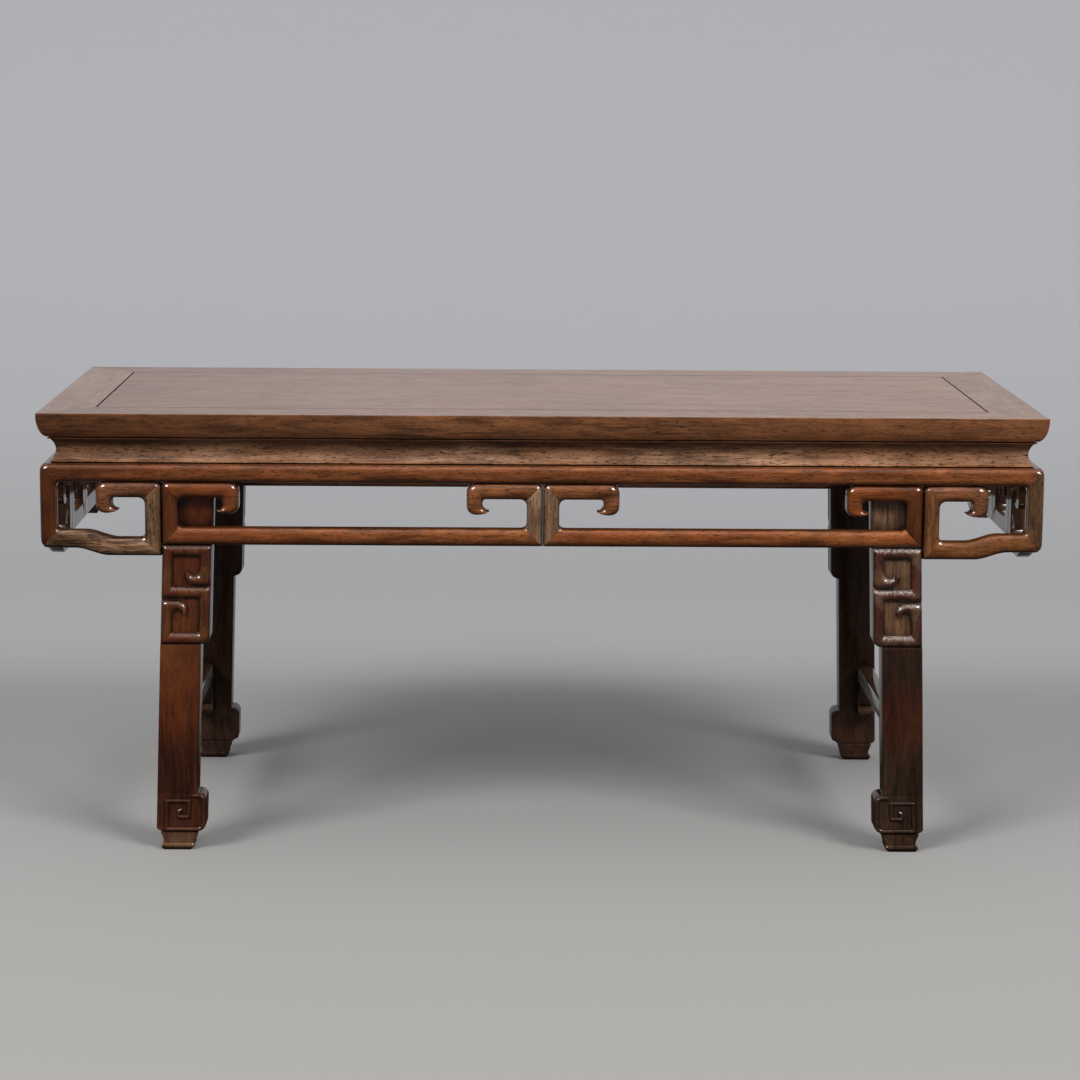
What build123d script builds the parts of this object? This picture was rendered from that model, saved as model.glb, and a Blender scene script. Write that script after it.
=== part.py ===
"""Kang table: a low hardwood table with a framed top, a hollow waist, an openwork apron and scroll feet.

Frame: origin on the floor under the middle of the top, +X to the right end, +Y to the back, +Z up.
Every member is its own solid. Millimetres.
"""
import os

from build123d import *

# ------------------------------------------------------------------ overall sizes
WIDTH = 900.0
DEPTH = 380.0
HEIGHT = 398.0

# ------------------------------------------------------------------ top
FRAME_WIDTH = 48.0
FRAME_THICK = 24.0
OVOLO_INSET = 7.0
TOP_ARRIS = 1.5
BEAD_HEIGHT = 1.6
TONGUE_LENGTH = 6.0
TONGUE_THICK = 4.5
FIELD_LIP = 4.5              # panel wood above the tongue
PANEL_LINE = 0.7             # open line between panel and frame
BATTEN_PITCH = 210.0
BATTEN_WIDTH = 30.0
BATTEN_DEPTH = 13.0
BATTEN_COUNT = 3
DOVETAIL_NECK = 16.0
DOVETAIL_HEAD = 21.0
DOVETAIL_HEIGHT = 3.0
BATTEN_TENON = (18.0, 8.0, 12.0)     # across, high, long
CORNER_TENON = (26.0, 7.0, 22.0)     # across, high, long

# ------------------------------------------------------------------ waist
WAIST_HEIGHT = 21.5
WAIST_TOP_INSET = 10.0
WAIST_HOLLOW_INSET = 13.0
WAIST_FOOT_INSET = 9.5
WAIST_BACK_INSET = 22.0
WAIST_TONGUE = 4.0

# ------------------------------------------------------------------ apron
APRON_INSET = 2.0            # apron face behind the top's edge
RAIL_HEIGHT = 16.0
MEMBER_DEPTH = 15.0          # every apron member, front to back
PILLOW = 5.0                 # rounding of the rails' front arrises
CORNER_POST = 14.4
CORNER_ROUND = 7.0
POST = 14.5
STRAND = 14.2
HOOK_DROP = 28.3
HOOK_SHANK = 14.4
HOOK_SHOULDER = 9.0
HOOK_CHIN = 7.0
HOOK_TIP_REACH = 20.0
HOOK_TIP_RISE = 2.9
HOOK_THROAT = 3.8
HOOK_INNER_ROUND = 3.0
POST_SHOULDER = 5.5
OPENING_ROUND = 6.0
LOW_RAIL = 15.5
LOW_RAIL_DROP = 72.7         # apron top to the underside of the middle section
WAVY_RAIL = 16.0
WAVY_DROP = 82.7             # apron top to the low part of the front wavy rails
WAVE_RISE = 6.6              # corner part of the front wavy rail above its low part
SIDE_LOW_DROP = 77.2         # as LOW_RAIL_DROP, on the ends of the table
SIDE_WAVE_RISE = 12.0        # as WAVE_RISE, on the ends of the table
WAVE_ROUND = 26.0
WAVE_TRAIL = 8.6             # the top of the wave starts and ends this much later than its underside
SEAM = 0.15                  # half the line between two posts
STUB = 6.0                   # stub tenon in every mitre
FIT = 0.15                   # clearance round tenons, tongues and pegs

# ------------------------------------------------------------------ hooks, measured from the post they grow from
LEG_HOOK = 69.0
CENTRE_HOOK = 68.2
END_HOOK = 58.2
SIDE_END_HOOK = 53.3
SIDE_CENTRE_HOOK = 40.5
SIDE_INNER_HOOK = 40.5
FRONT_WAVE = (36.0, 56.0)    # where the underside of the wavy rail starts and ends its dip
SIDE_WAVE = (22.0, 48.0)
SIDE_SETBACK = 99.5          # apron's front face to the line between the sections of an end

# ------------------------------------------------------------------ legs
LEG_SETBACK = 107.7          # apron's end face to the line between end and middle sections
LEG_WIDTH = 36.4
PANEL_WIDTH = 44.3
PANEL_HEIGHT = 90.0
PANEL_ROUND = 7.0
LEG_DEPTH = 30.0
SHAFT_RECESS = 2.0
LEG_LEAN = 0.0305            # outward, per unit of height
LEG_RAKE = 1.1               # degrees, forward and back
FOOT_TOP = 52.5
FOOT_BOTTOM = 18.0
FOOT_BULGE = 8.0
FOOT_ROUND = 6.0
PAD_INSET = 2.5
PAD_WAIST = 4.2
PAD_LIP = 3.4
PAD_FLOOR = 6.6
PAD_BACK_FLOOR = 3.0
LEG_TENON = (30.0, 8.0, 10.0)        # across, deep, high
CARVED_STRAND = 9.0
CARVING_DEPTH = 2.4
CARVED_CURL = 12.0
CARVED_LINE = 1.8

# ------------------------------------------------------------------ stretchers
STRETCHER_HEIGHT = 17.0
STRETCHER_WIDTH = 14.5
STRETCHER_TOP = 99.7
STRETCHER_SETBACK = 10.0     # leg's outer side to the middle of the stretcher
STRETCHER_ROUND = 2.2
STRETCHER_TENON = (9.0, 10.0, 12.0)   # across, high, long
BRACKET_DROP = 34.0
BRACKET_THICK = 9.0
BRACKET_WIDTH = 16.0
BRACKET_ARM = 20.0
BRACKET_TIP = 11.0
BRACKET_TIP_ROUND = 5.0

# ------------------------------------------------------------------ pegs
SCROLL_PEG = (4.0, 14.0)     # diameter, length
LEG_PEG = (5.0, 18.0)

# ------------------------------------------------------------------ derived places
half_width = WIDTH / 2
half_depth = DEPTH / 2
apron_x = half_width - APRON_INSET
apron_y = half_depth - APRON_INSET
z_frame = HEIGHT - FRAME_THICK
z_apron = z_frame - WAIST_HEIGHT
z_strand = z_apron - RAIL_HEIGHT
z_low = z_apron - LOW_RAIL_DROP
z_wavy = z_apron - WAVY_DROP
z_corner = z_wavy + WAVE_RISE
z_side_low = z_apron - SIDE_LOW_DROP
z_side_wavy = z_corner - SIDE_WAVE_RISE
seam_x = apron_x - LEG_SETBACK
seam_y = apron_y - SIDE_SETBACK
member_back = apron_y - MEMBER_DEPTH
leg_back = apron_y - LEG_DEPTH


# ================================================================== helpers
def filled(points, radii, plane):
    """Face of a closed outline with its own rounding at each corner."""
    return plane * make_face(FilletPolyline(*points, radius=radii, close=True))


def polygon(points, plane):
    """Face of a straight-sided outline."""
    return plane * make_face(Polyline(*points, close=True))


def half_space_cut(solid, origin, normal):
    """The part of a solid on the side of a plane that its normal points to."""
    return split(solid, bisect_by=Plane(origin=origin, z_dir=normal), keep=Keep.TOP)


def grown_box(size, centre, gap=0.0):
    """Box with a clearance on every side."""
    return Pos(*centre) * Box(*(side + 2 * gap for side in size))


def mirrored(solid, left_right, front_back):
    """The same piece at another corner of the table."""
    if left_right:
        solid = mirror(solid, about=Plane.YZ)
    if front_back:
        solid = mirror(solid, about=Plane.XZ)
    return solid


def ring_member(section, length):
    """Mitred member along X, its outer face at Y = 0, from a section in inset and height."""
    bar = Pos(-length / 2, 0, 0) * extrude(section, amount=length, dir=(1, 0, 0))
    bar = half_space_cut(bar, (-length / 2, 0, 0), (1, -1, 0))
    return half_space_cut(bar, (length / 2, 0, 0), (-1, -1, 0))


def ring(section):
    """Front, back, left and right members of one mitred ring."""
    long_member = ring_member(section, WIDTH)
    short_member = ring_member(section, DEPTH)
    return {
        "front": Pos(0, -half_depth, 0) * long_member,
        "back": Pos(0, half_depth, 0) * Rot(0, 0, 180) * long_member,
        "left": Pos(-half_width, 0, 0) * Rot(0, 0, -90) * short_member,
        "right": Pos(half_width, 0, 0) * Rot(0, 0, 90) * short_member,
    }


# ================================================================== legs
def leg_outline():
    """Front view of the leg below the apron, left front, with its panel, shaft, scroll foot and pad."""
    def outer(z):
        return -seam_x + SEAM - (z_wavy - z) * LEG_LEAN

    def inner(z):
        return outer(z) + LEG_WIDTH

    panel_foot = z_low - PANEL_HEIGHT
    margin = 6.0
    corners = [
        ((outer(z_wavy), z_low + margin), 0),
        ((outer(z_wavy), z_wavy), 0),
        ((outer(FOOT_BOTTOM), FOOT_BOTTOM + 4), 2),
        ((outer(FOOT_BOTTOM) + PAD_INSET, FOOT_BOTTOM - 1), 1),
        ((outer(0) + PAD_WAIST, FOOT_BOTTOM / 2), 5),
        ((outer(0) + PAD_LIP, FOOT_BOTTOM / 4), 1),
        ((outer(0) + PAD_FLOOR, 0), 0),
        ((outer(0) + PAD_FLOOR, -margin), 0),
        ((inner(0) - PAD_BACK_FLOOR, -margin), 0),
        ((inner(0) - PAD_BACK_FLOOR, 0), 0),
        ((inner(0), FOOT_BOTTOM / 2), 6),
        ((inner(0), FOOT_BOTTOM), 0),
        ((inner(FOOT_BOTTOM) + FOOT_BULGE, FOOT_BOTTOM), FOOT_ROUND),
        ((inner(FOOT_TOP) + FOOT_BULGE, FOOT_TOP), FOOT_ROUND),
        ((inner(FOOT_TOP), FOOT_TOP), 0),
        ((inner(panel_foot), panel_foot), 0),
        ((outer(panel_foot) + PANEL_WIDTH, panel_foot), PANEL_ROUND),
        ((outer(z_low) + PANEL_WIDTH, z_low), 0),
        ((outer(z_low) + PANEL_WIDTH, z_low + margin), 0),
    ]
    return [corner[0] for corner in corners], [corner[1] for corner in corners]


def carved_grounds():
    """Sunk grounds of the double square scroll on the leg's panel, as cutting blocks, left front."""
    middle_x = -seam_x + SEAM - PANEL_HEIGHT / 2 * LEG_LEAN + PANEL_WIDTH / 2
    middle_z = z_low - PANEL_HEIGHT / 2
    half = PANEL_WIDTH / 2 - CARVED_STRAND
    top = PANEL_HEIGHT / 2 - CARVED_STRAND - CARVED_LINE
    floor = CARVED_STRAND * 0.7
    deep = 2 * CARVING_DEPTH
    ground = polygon([(-half, floor), (half - CARVED_CURL, floor), (half - CARVED_CURL, floor + CARVED_CURL),
                      (half, floor + CARVED_CURL), (half, top), (-half, top)], Plane.XZ)
    line = polygon([(half - CARVED_CURL, floor), (half + CARVED_STRAND, floor),
                    (half + CARVED_STRAND, floor + CARVED_LINE), (half - CARVED_CURL, floor + CARVED_LINE)],
                   Plane.XZ)
    block = extrude(ground + line, amount=deep / 2, both=True)
    blocks = block + Rot(0, 180, 0) * block
    return Pos(middle_x, -apron_y, middle_z) * blocks


def make_leg():
    """Left front leg: carved panel, shaft and scroll foot below, a tongue behind the apron above."""
    points, radii = leg_outline()
    lower = Pos(0, -leg_back, 0) * extrude(filled(points, radii, Plane.XZ), amount=LEG_DEPTH)
    panel_foot = z_low - PANEL_HEIGHT
    lower -= grown_box((2 * LEG_WIDTH + 20, 2 * SHAFT_RECESS, panel_foot + 20),
                       (-seam_x + LEG_WIDTH / 2, -apron_y, (panel_foot - 20) / 2))
    lower -= carved_grounds()
    pivot = Pos(0, -apron_y, z_low)
    lower = pivot * Rot(-LEG_RAKE, 0, 0) * pivot.inverse() * lower
    lower = half_space_cut(lower, (0, 0, z_low), (0, 0, -1))
    lower = half_space_cut(lower, (0, 0, 0), (0, 0, 1))
    outer = -seam_x + SEAM
    tongue_y = -(member_back + leg_back) / 2
    tongue_x = outer + PANEL_WIDTH / 2
    tongue = Pos(tongue_x, tongue_y, (z_low + z_frame) / 2) * Box(
        PANEL_WIDTH, member_back - leg_back, z_frame - z_low)
    return lower + tongue + leg_tenon(0.0)


def leg_tenon(gap):
    """Tenon of the left front leg, up into the top frame."""
    across, deep, high = LEG_TENON
    return grown_box((across, deep, high), (-seam_x + SEAM + PANEL_WIDTH / 2,
                                            -(member_back + leg_back) / 2, z_frame + high / 2), gap)


def leg_housing():
    """Room for the leg's upper tongue where it passes the waist, left front."""
    return grown_box((PANEL_WIDTH, member_back - leg_back, z_frame - z_low),
                     (-seam_x + SEAM + PANEL_WIDTH / 2, -(member_back + leg_back) / 2,
                      (z_low + z_frame) / 2), FIT)


# ================================================================== apron members
def hook_chains(root, reach, side):
    """Outer and inner corners of a hook that grows from a post and curls back to it."""
    outer = root + side * reach
    low = z_strand - HOOK_DROP
    tip = (outer - side * HOOK_TIP_REACH, low + HOOK_TIP_RISE)
    outside = [((root, z_strand), POST_SHOULDER), ((outer, z_strand), HOOK_SHOULDER), ((outer, low), HOOK_CHIN),
               ((outer - side * (HOOK_TIP_REACH + HOOK_CHIN) / 2, low), 6.0), (tip, 0)]
    opening_round = min(OPENING_ROUND, reach - HOOK_SHANK - POST - HOOK_INNER_ROUND - SEAM)
    inside = [((outer - side * HOOK_SHANK, low + HOOK_THROAT), 4.6),
              ((outer - side * HOOK_SHANK, z_strand - STRAND), HOOK_INNER_ROUND),
              ((root + side * POST, z_strand - STRAND), opening_round)]
    return outside, inside


def post_mitres(root, side, low_edge, low_inner):
    """Both mitres of a post: their outer ends, and their inner ends carried into the opening's round."""
    reach = 1.4
    return {
        "top": (root, z_strand),
        "top_in": (root + side * POST * reach, z_strand - STRAND * reach),
        "low": (root, low_edge),
        "low_in": (root + side * POST * reach, low_edge + (low_inner - low_edge) * reach),
    }


def piece(frame_face, region, plane):
    """One member: the part of a frame's outline inside its mitred region, at full depth."""
    return extrude(frame_face & polygon(region, plane), amount=MEMBER_DEPTH, dir=-plane.z_dir)


def hook_region(post, end):
    """Region of the hook above the post's mitre."""
    floor = z_strand - HOOK_DROP - 1
    return [post["top"], post["top_in"], (post["top_in"][0], floor), (end, floor), (end, z_strand)]


def post_region(post):
    """Region of the post between its two mitres."""
    return [post["top"], post["top_in"], post["low_in"], post["low"]]


def middle_section(plane, left, right, reaches, low):
    """Half of a middle section: two posts with hooks, one long rail. Coordinates in the apron's plane."""
    left_out, left_in = hook_chains(left, reaches[0], 1)
    right_out, right_in = hook_chains(right, reaches[1], -1)
    rail_top = low + LOW_RAIL
    corners = left_in + [((left + POST, rail_top), OPENING_ROUND), ((right - POST, rail_top), OPENING_ROUND)]
    corners += right_in[::-1] + right_out[::-1] + [((right, low), 0), ((left, low), 0)] + left_out
    face = filled([corner[0] for corner in corners], [corner[1] for corner in corners], plane)
    left_post = post_mitres(left, 1, low, rail_top)
    right_post = post_mitres(right, -1, low, rail_top)
    rail_region = [left_post["low"], left_post["low_in"], right_post["low_in"], right_post["low"]]
    return {
        "left_hook": piece(face, hook_region(left_post, left + reaches[0] + 1), plane),
        "left_post": piece(face, post_region(left_post), plane),
        "long_rail": piece(face, rail_region, plane),
        "right_post": piece(face, post_region(right_post), plane),
        "right_hook": piece(face, hook_region(right_post, right - reaches[1] - 1), plane),
    }


def end_section(plane, corner, root, reach, wave, low):
    """Wavy rail from a corner of the apron to a post with its hook, in the apron's plane."""
    side = -1 if root > corner else 1
    out, into = hook_chains(root, reach, side)
    low_top = low + WAVY_RAIL
    high_top = z_corner + WAVY_RAIL

    def along(distance):
        return corner - side * distance

    trail = WAVE_TRAIL
    corners = [((corner, z_corner), CORNER_ROUND), ((along(wave[0]), z_corner), WAVE_ROUND),
               ((along(wave[1]), low), WAVE_ROUND), ((root, low), 1.0)]
    corners += out + into + [((root + side * POST, low_top), OPENING_ROUND - 1),
                             ((along(wave[1] + trail), low_top), WAVE_ROUND),
                             ((along(wave[0] + trail), high_top), WAVE_ROUND), ((corner, high_top), 0)]
    face = filled([point[0] for point in corners], [point[1] for point in corners], plane)
    post = post_mitres(root, side, low, low_top)
    rail_roof = high_top + 3
    rail_region = [post["low"], post["low_in"], (post["low_in"][0], rail_roof), (along(-1), rail_roof),
                   (along(-1), low - 1), (root, low - 1)]
    return {
        "wavy_rail": piece(face, rail_region, plane),
        "post": piece(face, post_region(post), plane),
        "hook": piece(face, hook_region(post, root + side * (reach + 1)), plane),
    }


def stub_box(centre, plane, gap):
    """Stub tenon in the middle of a mitre, in the apron's plane."""
    block = Box(STUB + 2 * gap, STUB + 2 * gap, MEMBER_DEPTH / 3 + 2 * gap)
    return plane * Pos(centre[0], centre[1], -MEMBER_DEPTH / 2) * block


def pin_mitre(holder, socket, centre, plane):
    """Give one member a stub tenon and the other its mortise."""
    return holder + stub_box(centre, plane, 0.0), socket - stub_box(centre, plane, FIT)


def mitre_centre(root, side, z_outer, height):
    """Middle of a post's mitre, in the apron's plane."""
    return root + side * POST / 2, z_outer + height / 2


def round_peg(size, centre, direction, gap):
    """Peg, or its hole when it is given a clearance."""
    diameter, length = size
    axis = Plane(origin=centre, z_dir=direction)
    return axis * Cylinder(diameter / 2 + gap, length + 2 * gap)


# ================================================================== build, front left first
front_plane = Plane(origin=(0, -apron_y, 0), x_dir=(1, 0, 0), z_dir=(0, -1, 0))
left_plane = Plane(origin=(-apron_x, 0, 0), x_dir=(0, -1, 0), z_dir=(-1, 0, 0))
end_root = -seam_x - SEAM
middle_root = -seam_x + SEAM
side_end_root = seam_y + SEAM
side_inner_root = seam_y - SEAM


def joined_end_section(plane, corner, root, reach, wave, low):
    """End section with its two mitres pinned."""
    section = end_section(plane, corner, root, reach, wave, low)
    side = -1 if root > corner else 1
    upper_mitre = mitre_centre(root, side, z_strand, -STRAND)
    lower_mitre = mitre_centre(root, side, low, WAVY_RAIL)
    section["post"], section["hook"] = pin_mitre(section["post"], section["hook"], upper_mitre, plane)
    section["wavy_rail"], section["post"] = pin_mitre(section["wavy_rail"], section["post"], lower_mitre, plane)
    return section


def joined_middle_section(plane, left, right, reaches, low):
    """Middle section with its four mitres pinned."""
    section = middle_section(plane, left, right, reaches, low)
    for root, side, name in ((left, 1, "left"), (right, -1, "right")):
        post = name + "_post"
        hook = name + "_hook"
        upper_mitre = mitre_centre(root, side, z_strand, -STRAND)
        lower_mitre = mitre_centre(root, side, low, LOW_RAIL)
        section[post], section[hook] = pin_mitre(section[post], section[hook], upper_mitre, plane)
        section["long_rail"], section[post] = pin_mitre(section["long_rail"], section[post], lower_mitre, plane)
    return section


def corner_stub(z, gap):
    """Stub tenon of a corner post in the two rails it meets, left front."""
    middle = CORNER_POST / 2
    return grown_box((STUB, STUB, STUB), (-apron_x + middle, -apron_y + middle, z), gap)


def make_corner_post():
    """Left front corner post, mitred to two rails at each end."""
    height = z_apron - z_corner
    post = Pos(-apron_x + CORNER_POST / 2, -apron_y + CORNER_POST / 2, z_corner + height / 2) * Box(
        CORNER_POST, CORNER_POST, height)
    outer_edge = post.edges().filter_by(Axis.Z).sort_by(lambda edge: edge.center().X + edge.center().Y)[0]
    post = fillet(outer_edge, PILLOW)
    for along_x in (True, False):
        across = (1 / CORNER_POST, 0) if along_x else (0, 1 / CORNER_POST)
        post = half_space_cut(post, (-apron_x, -apron_y, z_apron), (-across[0], -across[1], -1 / RAIL_HEIGHT))
        post = half_space_cut(post, (-apron_x, -apron_y, z_corner), (-across[0], -across[1], 1 / WAVY_RAIL))
    views = ((Plane.XZ, -apron_x), (Plane.YZ, -apron_y))
    for plane, edge in views:
        outline = filled([(edge, z_corner), (edge + 2 * CORNER_POST, z_corner),
                          (edge + 2 * CORNER_POST, z_apron + 1), (edge, z_apron + 1)],
                         [CORNER_ROUND, 0, 0, 0], plane)
        post = post & extrude(outline, amount=WIDTH, both=True)
    return post + corner_stub(z_apron - RAIL_HEIGHT / 2, 0.0) + corner_stub(z_corner + WAVY_RAIL / 2, 0.0)


def cut_wavy_corner(rail, along_x):
    """Mitre a left front wavy rail to its neighbour and to the corner post."""
    corner = (-apron_x, -apron_y, z_corner)
    if along_x:
        rail = half_space_cut(rail, corner, (1, -1, 0))
        rail = half_space_cut(rail, corner, (1 / CORNER_POST, 0, -1 / WAVY_RAIL))
    else:
        rail = half_space_cut(rail, corner, (-1, 1, 0))
        rail = half_space_cut(rail, corner, (0, 1 / CORNER_POST, -1 / WAVY_RAIL))
    return rail - corner_stub(z_corner + WAVY_RAIL / 2, FIT)


# ------------------------------------------------------------------ top
groove_low = HEIGHT - FIELD_LIP - TONGUE_THICK
waist_tongue = (WAIST_TOP_INSET + 4.0, WAIST_TOP_INSET + 8.5)


def top_section():
    """Section of the top frame: ovolo and bead outside, panel groove inside, waist groove below."""
    ovolo_foot = z_frame + BEAD_HEIGHT
    ovolo = EllipticalCenterArc((OVOLO_INSET, HEIGHT - TOP_ARRIS), OVOLO_INSET,
                                HEIGHT - TOP_ARRIS - ovolo_foot, start_angle=180, arc_size=90)
    groove_back = FRAME_WIDTH - PANEL_LINE - TONGUE_LENGTH - 1.0
    outline = Polyline((OVOLO_INSET, ovolo_foot), (OVOLO_INSET, z_frame), (FRAME_WIDTH, z_frame),
                       (FRAME_WIDTH, groove_low - FIT), (groove_back, groove_low - FIT),
                       (groove_back, groove_low + TONGUE_THICK + FIT),
                       (FRAME_WIDTH, groove_low + TONGUE_THICK + FIT), (FRAME_WIDTH, HEIGHT), (0, HEIGHT),
                       (0, HEIGHT - TOP_ARRIS))
    face = Plane.YZ * make_face([ovolo, outline])
    return face - polygon([(waist_tongue[0] - FIT, z_frame - 1), (waist_tongue[1] + FIT, z_frame - 1),
                           (waist_tongue[1] + FIT, z_frame + WAIST_TONGUE + FIT),
                           (waist_tongue[0] - FIT, z_frame + WAIST_TONGUE + FIT)], Plane.YZ)


def waist_section():
    """Section of the waist: hollow face, tongue above."""
    hollow = ThreePointArc((WAIST_FOOT_INSET, z_apron), (WAIST_HOLLOW_INSET, (z_apron + z_frame) / 2),
                           (WAIST_TOP_INSET, z_frame))
    outline = Polyline((WAIST_TOP_INSET, z_frame), (waist_tongue[0], z_frame),
                       (waist_tongue[0], z_frame + WAIST_TONGUE), (waist_tongue[1], z_frame + WAIST_TONGUE),
                       (waist_tongue[1], z_frame), (WAIST_BACK_INSET, z_frame), (WAIST_BACK_INSET, z_apron),
                       (WAIST_FOOT_INSET, z_apron))
    return Plane.YZ * make_face([hollow, outline])


def rail_section():
    """Section of the apron's top rail: pillowed outside."""
    back = APRON_INSET + MEMBER_DEPTH
    return filled([(APRON_INSET, z_strand), (back, z_strand), (back, z_apron), (APRON_INSET, z_apron)],
                  [PILLOW, 0, 0, PILLOW], Plane.YZ)


def frame_corner_tenon(gap):
    """Tenon of the front rail in the left stile, left front corner."""
    across, high, long = CORNER_TENON
    return grown_box((long, across, high), (-half_width + FRAME_WIDTH / 2, -half_depth + FRAME_WIDTH / 2,
                                            z_frame + WAIST_TONGUE + high), gap)


def batten_tenons(x, gap):
    """Both tenons of one batten, in the long rails of the frame."""
    across, high, long = BATTEN_TENON
    z = groove_low - BATTEN_DEPTH / 2
    return grown_box((across, DEPTH - 2 * FRAME_WIDTH + 2 * long, high), (x, 0, z), gap)


def batten_dovetail(x, gap):
    """Dovetailed tongue of a batten, up into the panel."""
    neck = DOVETAIL_NECK / 2 + gap
    head = DOVETAIL_HEAD / 2 + gap
    roof = groove_low + DOVETAIL_HEIGHT + gap
    face = polygon([(x - neck, groove_low - 1), (x + neck, groove_low - 1), (x + neck, groove_low),
                    (x + head, roof), (x - head, roof), (x - neck, groove_low)], Plane.XZ)
    return extrude(face, amount=(DEPTH - 2 * FRAME_WIDTH) / 2 - PANEL_LINE, both=True)


parts = {}
top_frame = ring(top_section())
waist = ring(waist_section())
apron_rails = ring(rail_section())
corner_signs = [(lr, fb) for lr in (False, True) for fb in (False, True)]

# ------------------------------------------------------------------ one leg, and everything that makes room for it
leg = make_leg()
stretcher_z = STRETCHER_TOP - STRETCHER_HEIGHT / 2
stretcher_x = -seam_x + SEAM - (z_wavy - stretcher_z) * LEG_LEAN + STRETCHER_SETBACK
stretcher_bar = extrude(
    filled([(-STRETCHER_WIDTH / 2, -STRETCHER_HEIGHT / 2), (STRETCHER_WIDTH / 2, -STRETCHER_HEIGHT / 2),
            (STRETCHER_WIDTH / 2, STRETCHER_HEIGHT / 2), (-STRETCHER_WIDTH / 2, STRETCHER_HEIGHT / 2)],
           [STRETCHER_ROUND] * 4, Plane.XZ), amount=leg_back + LEG_DEPTH / 2, both=True)
stretcher = Pos(stretcher_x, 0, stretcher_z) * stretcher_bar
stretcher -= leg
stretcher -= mirror(leg, about=Plane.XZ)
stretcher_tenon_size = (STRETCHER_TENON[0], 2 * (leg_back + STRETCHER_TENON[2]), STRETCHER_TENON[1])
stretcher += grown_box(stretcher_tenon_size, (stretcher_x, 0, stretcher_z), 0.0)

bracket_top = stretcher_z - STRETCHER_HEIGHT / 2
bracket_low = bracket_top - BRACKET_DROP
bracket_face = -(leg_back + BRACKET_THICK / 2)
bracket_inner = bracket_face + BRACKET_THICK
bracket_outline = filled(
    [(bracket_face - BRACKET_THICK, bracket_top), (bracket_inner + BRACKET_ARM, bracket_top),
     (bracket_inner + BRACKET_ARM - 4, bracket_top - 5), (bracket_inner, bracket_top - 7),
     (bracket_inner, bracket_low + BRACKET_TIP * 1.2), (bracket_inner + BRACKET_TIP, bracket_low + BRACKET_TIP),
     (bracket_inner + BRACKET_TIP, bracket_low), (bracket_face - BRACKET_THICK, bracket_low)],
    [0, 1, 3, 5, 2, BRACKET_TIP_ROUND, BRACKET_TIP_ROUND, 0], Plane.YZ)
bracket = Pos(stretcher_x, 0, 0) * extrude(bracket_outline, amount=BRACKET_WIDTH / 2, both=True)
bracket -= leg
leg -= grown_box(stretcher_tenon_size, (stretcher_x, 0, stretcher_z), FIT)

leg_peg_place = (-seam_x + SEAM + PANEL_WIDTH / 2, -member_back, z_apron - RAIL_HEIGHT / 2)
leg -= round_peg(LEG_PEG, leg_peg_place, (0, 1, 0), FIT)

# ------------------------------------------------------------------ sections of the apron, front left and left front
end_parts = joined_end_section(front_plane, -apron_x, end_root, END_HOOK, FRONT_WAVE, z_wavy)
middle_parts = joined_middle_section(front_plane, middle_root, -SEAM, (LEG_HOOK, CENTRE_HOOK), z_low)
side_parts = joined_end_section(left_plane, apron_y, side_end_root, SIDE_END_HOOK, SIDE_WAVE, z_side_wavy)
side_middle_parts = joined_middle_section(left_plane, SEAM, side_inner_root,
                                          (SIDE_CENTRE_HOOK, SIDE_INNER_HOOK), z_side_low)
end_parts["wavy_rail"] = cut_wavy_corner(end_parts["wavy_rail"], True)
side_parts["wavy_rail"] = cut_wavy_corner(side_parts["wavy_rail"], False)
corner_post = make_corner_post()

front_peg_y = -apron_y + MEMBER_DEPTH / 2
side_peg_x = -apron_x + MEMBER_DEPTH / 2
pegged_hooks = [
    (end_parts, "hook", (end_root - END_HOOK / 2, front_peg_y)),
    (middle_parts, "left_hook", (middle_root + LEG_HOOK / 2, front_peg_y)),
    (middle_parts, "right_hook", (-SEAM - CENTRE_HOOK / 2, front_peg_y)),
    (side_parts, "hook", (side_peg_x, -side_end_root - SIDE_END_HOOK / 2)),
    (side_middle_parts, "left_hook", (side_peg_x, -SEAM - SIDE_CENTRE_HOOK / 2)),
    (side_middle_parts, "right_hook", (side_peg_x, -side_inner_root + SIDE_INNER_HOOK / 2)),
]
peg_places = [(*place, z_strand) for _, _, place in pegged_hooks]
holes = [round_peg(SCROLL_PEG, place, (0, 0, 1), FIT) for place in peg_places]
for (section, hook, _), hole in zip(pegged_hooks, holes):
    section[hook] -= hole

# ------------------------------------------------------------------ rings cut for their neighbours
for face, half in (("front", apron_x), ("left", apron_y)):
    rail = apron_rails[face]
    for end in (-1, 1):
        if face == "front":
            rail = half_space_cut(rail, (end * half, -apron_y, z_apron),
                                  (-end / CORNER_POST, 0, 1 / RAIL_HEIGHT))
        else:
            rail = half_space_cut(rail, (-apron_x, end * half, z_apron),
                                  (0, -end / CORNER_POST, 1 / RAIL_HEIGHT))
    apron_rails[face] = rail
apron_rails["back"] = mirror(apron_rails["front"], about=Plane.XZ)
apron_rails["right"] = mirror(apron_rails["left"], about=Plane.YZ)

rail_corner = corner_stub(z_apron - RAIL_HEIGHT / 2, FIT)
rail_holes = [rail_corner, round_peg(LEG_PEG, leg_peg_place, (0, 1, 0), FIT)] + holes
for left_right, front_back in corner_signs:
    for hole in rail_holes:
        cutter = mirrored(hole, left_right, front_back)
        for face in apron_rails:
            apron_rails[face] -= cutter
    room = mirrored(leg_housing(), left_right, front_back)
    tenon_room = mirrored(leg_tenon(FIT), left_right, front_back)
    corner_room = mirrored(frame_corner_tenon(FIT), left_right, front_back)
    corner_tenon = mirrored(frame_corner_tenon(0.0), left_right, front_back)
    long_rail = "back" if front_back else "front"
    stile = "right" if left_right else "left"
    waist[long_rail] -= room
    top_frame[long_rail] -= tenon_room
    top_frame[long_rail] += corner_tenon
    top_frame[stile] -= corner_room

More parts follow.
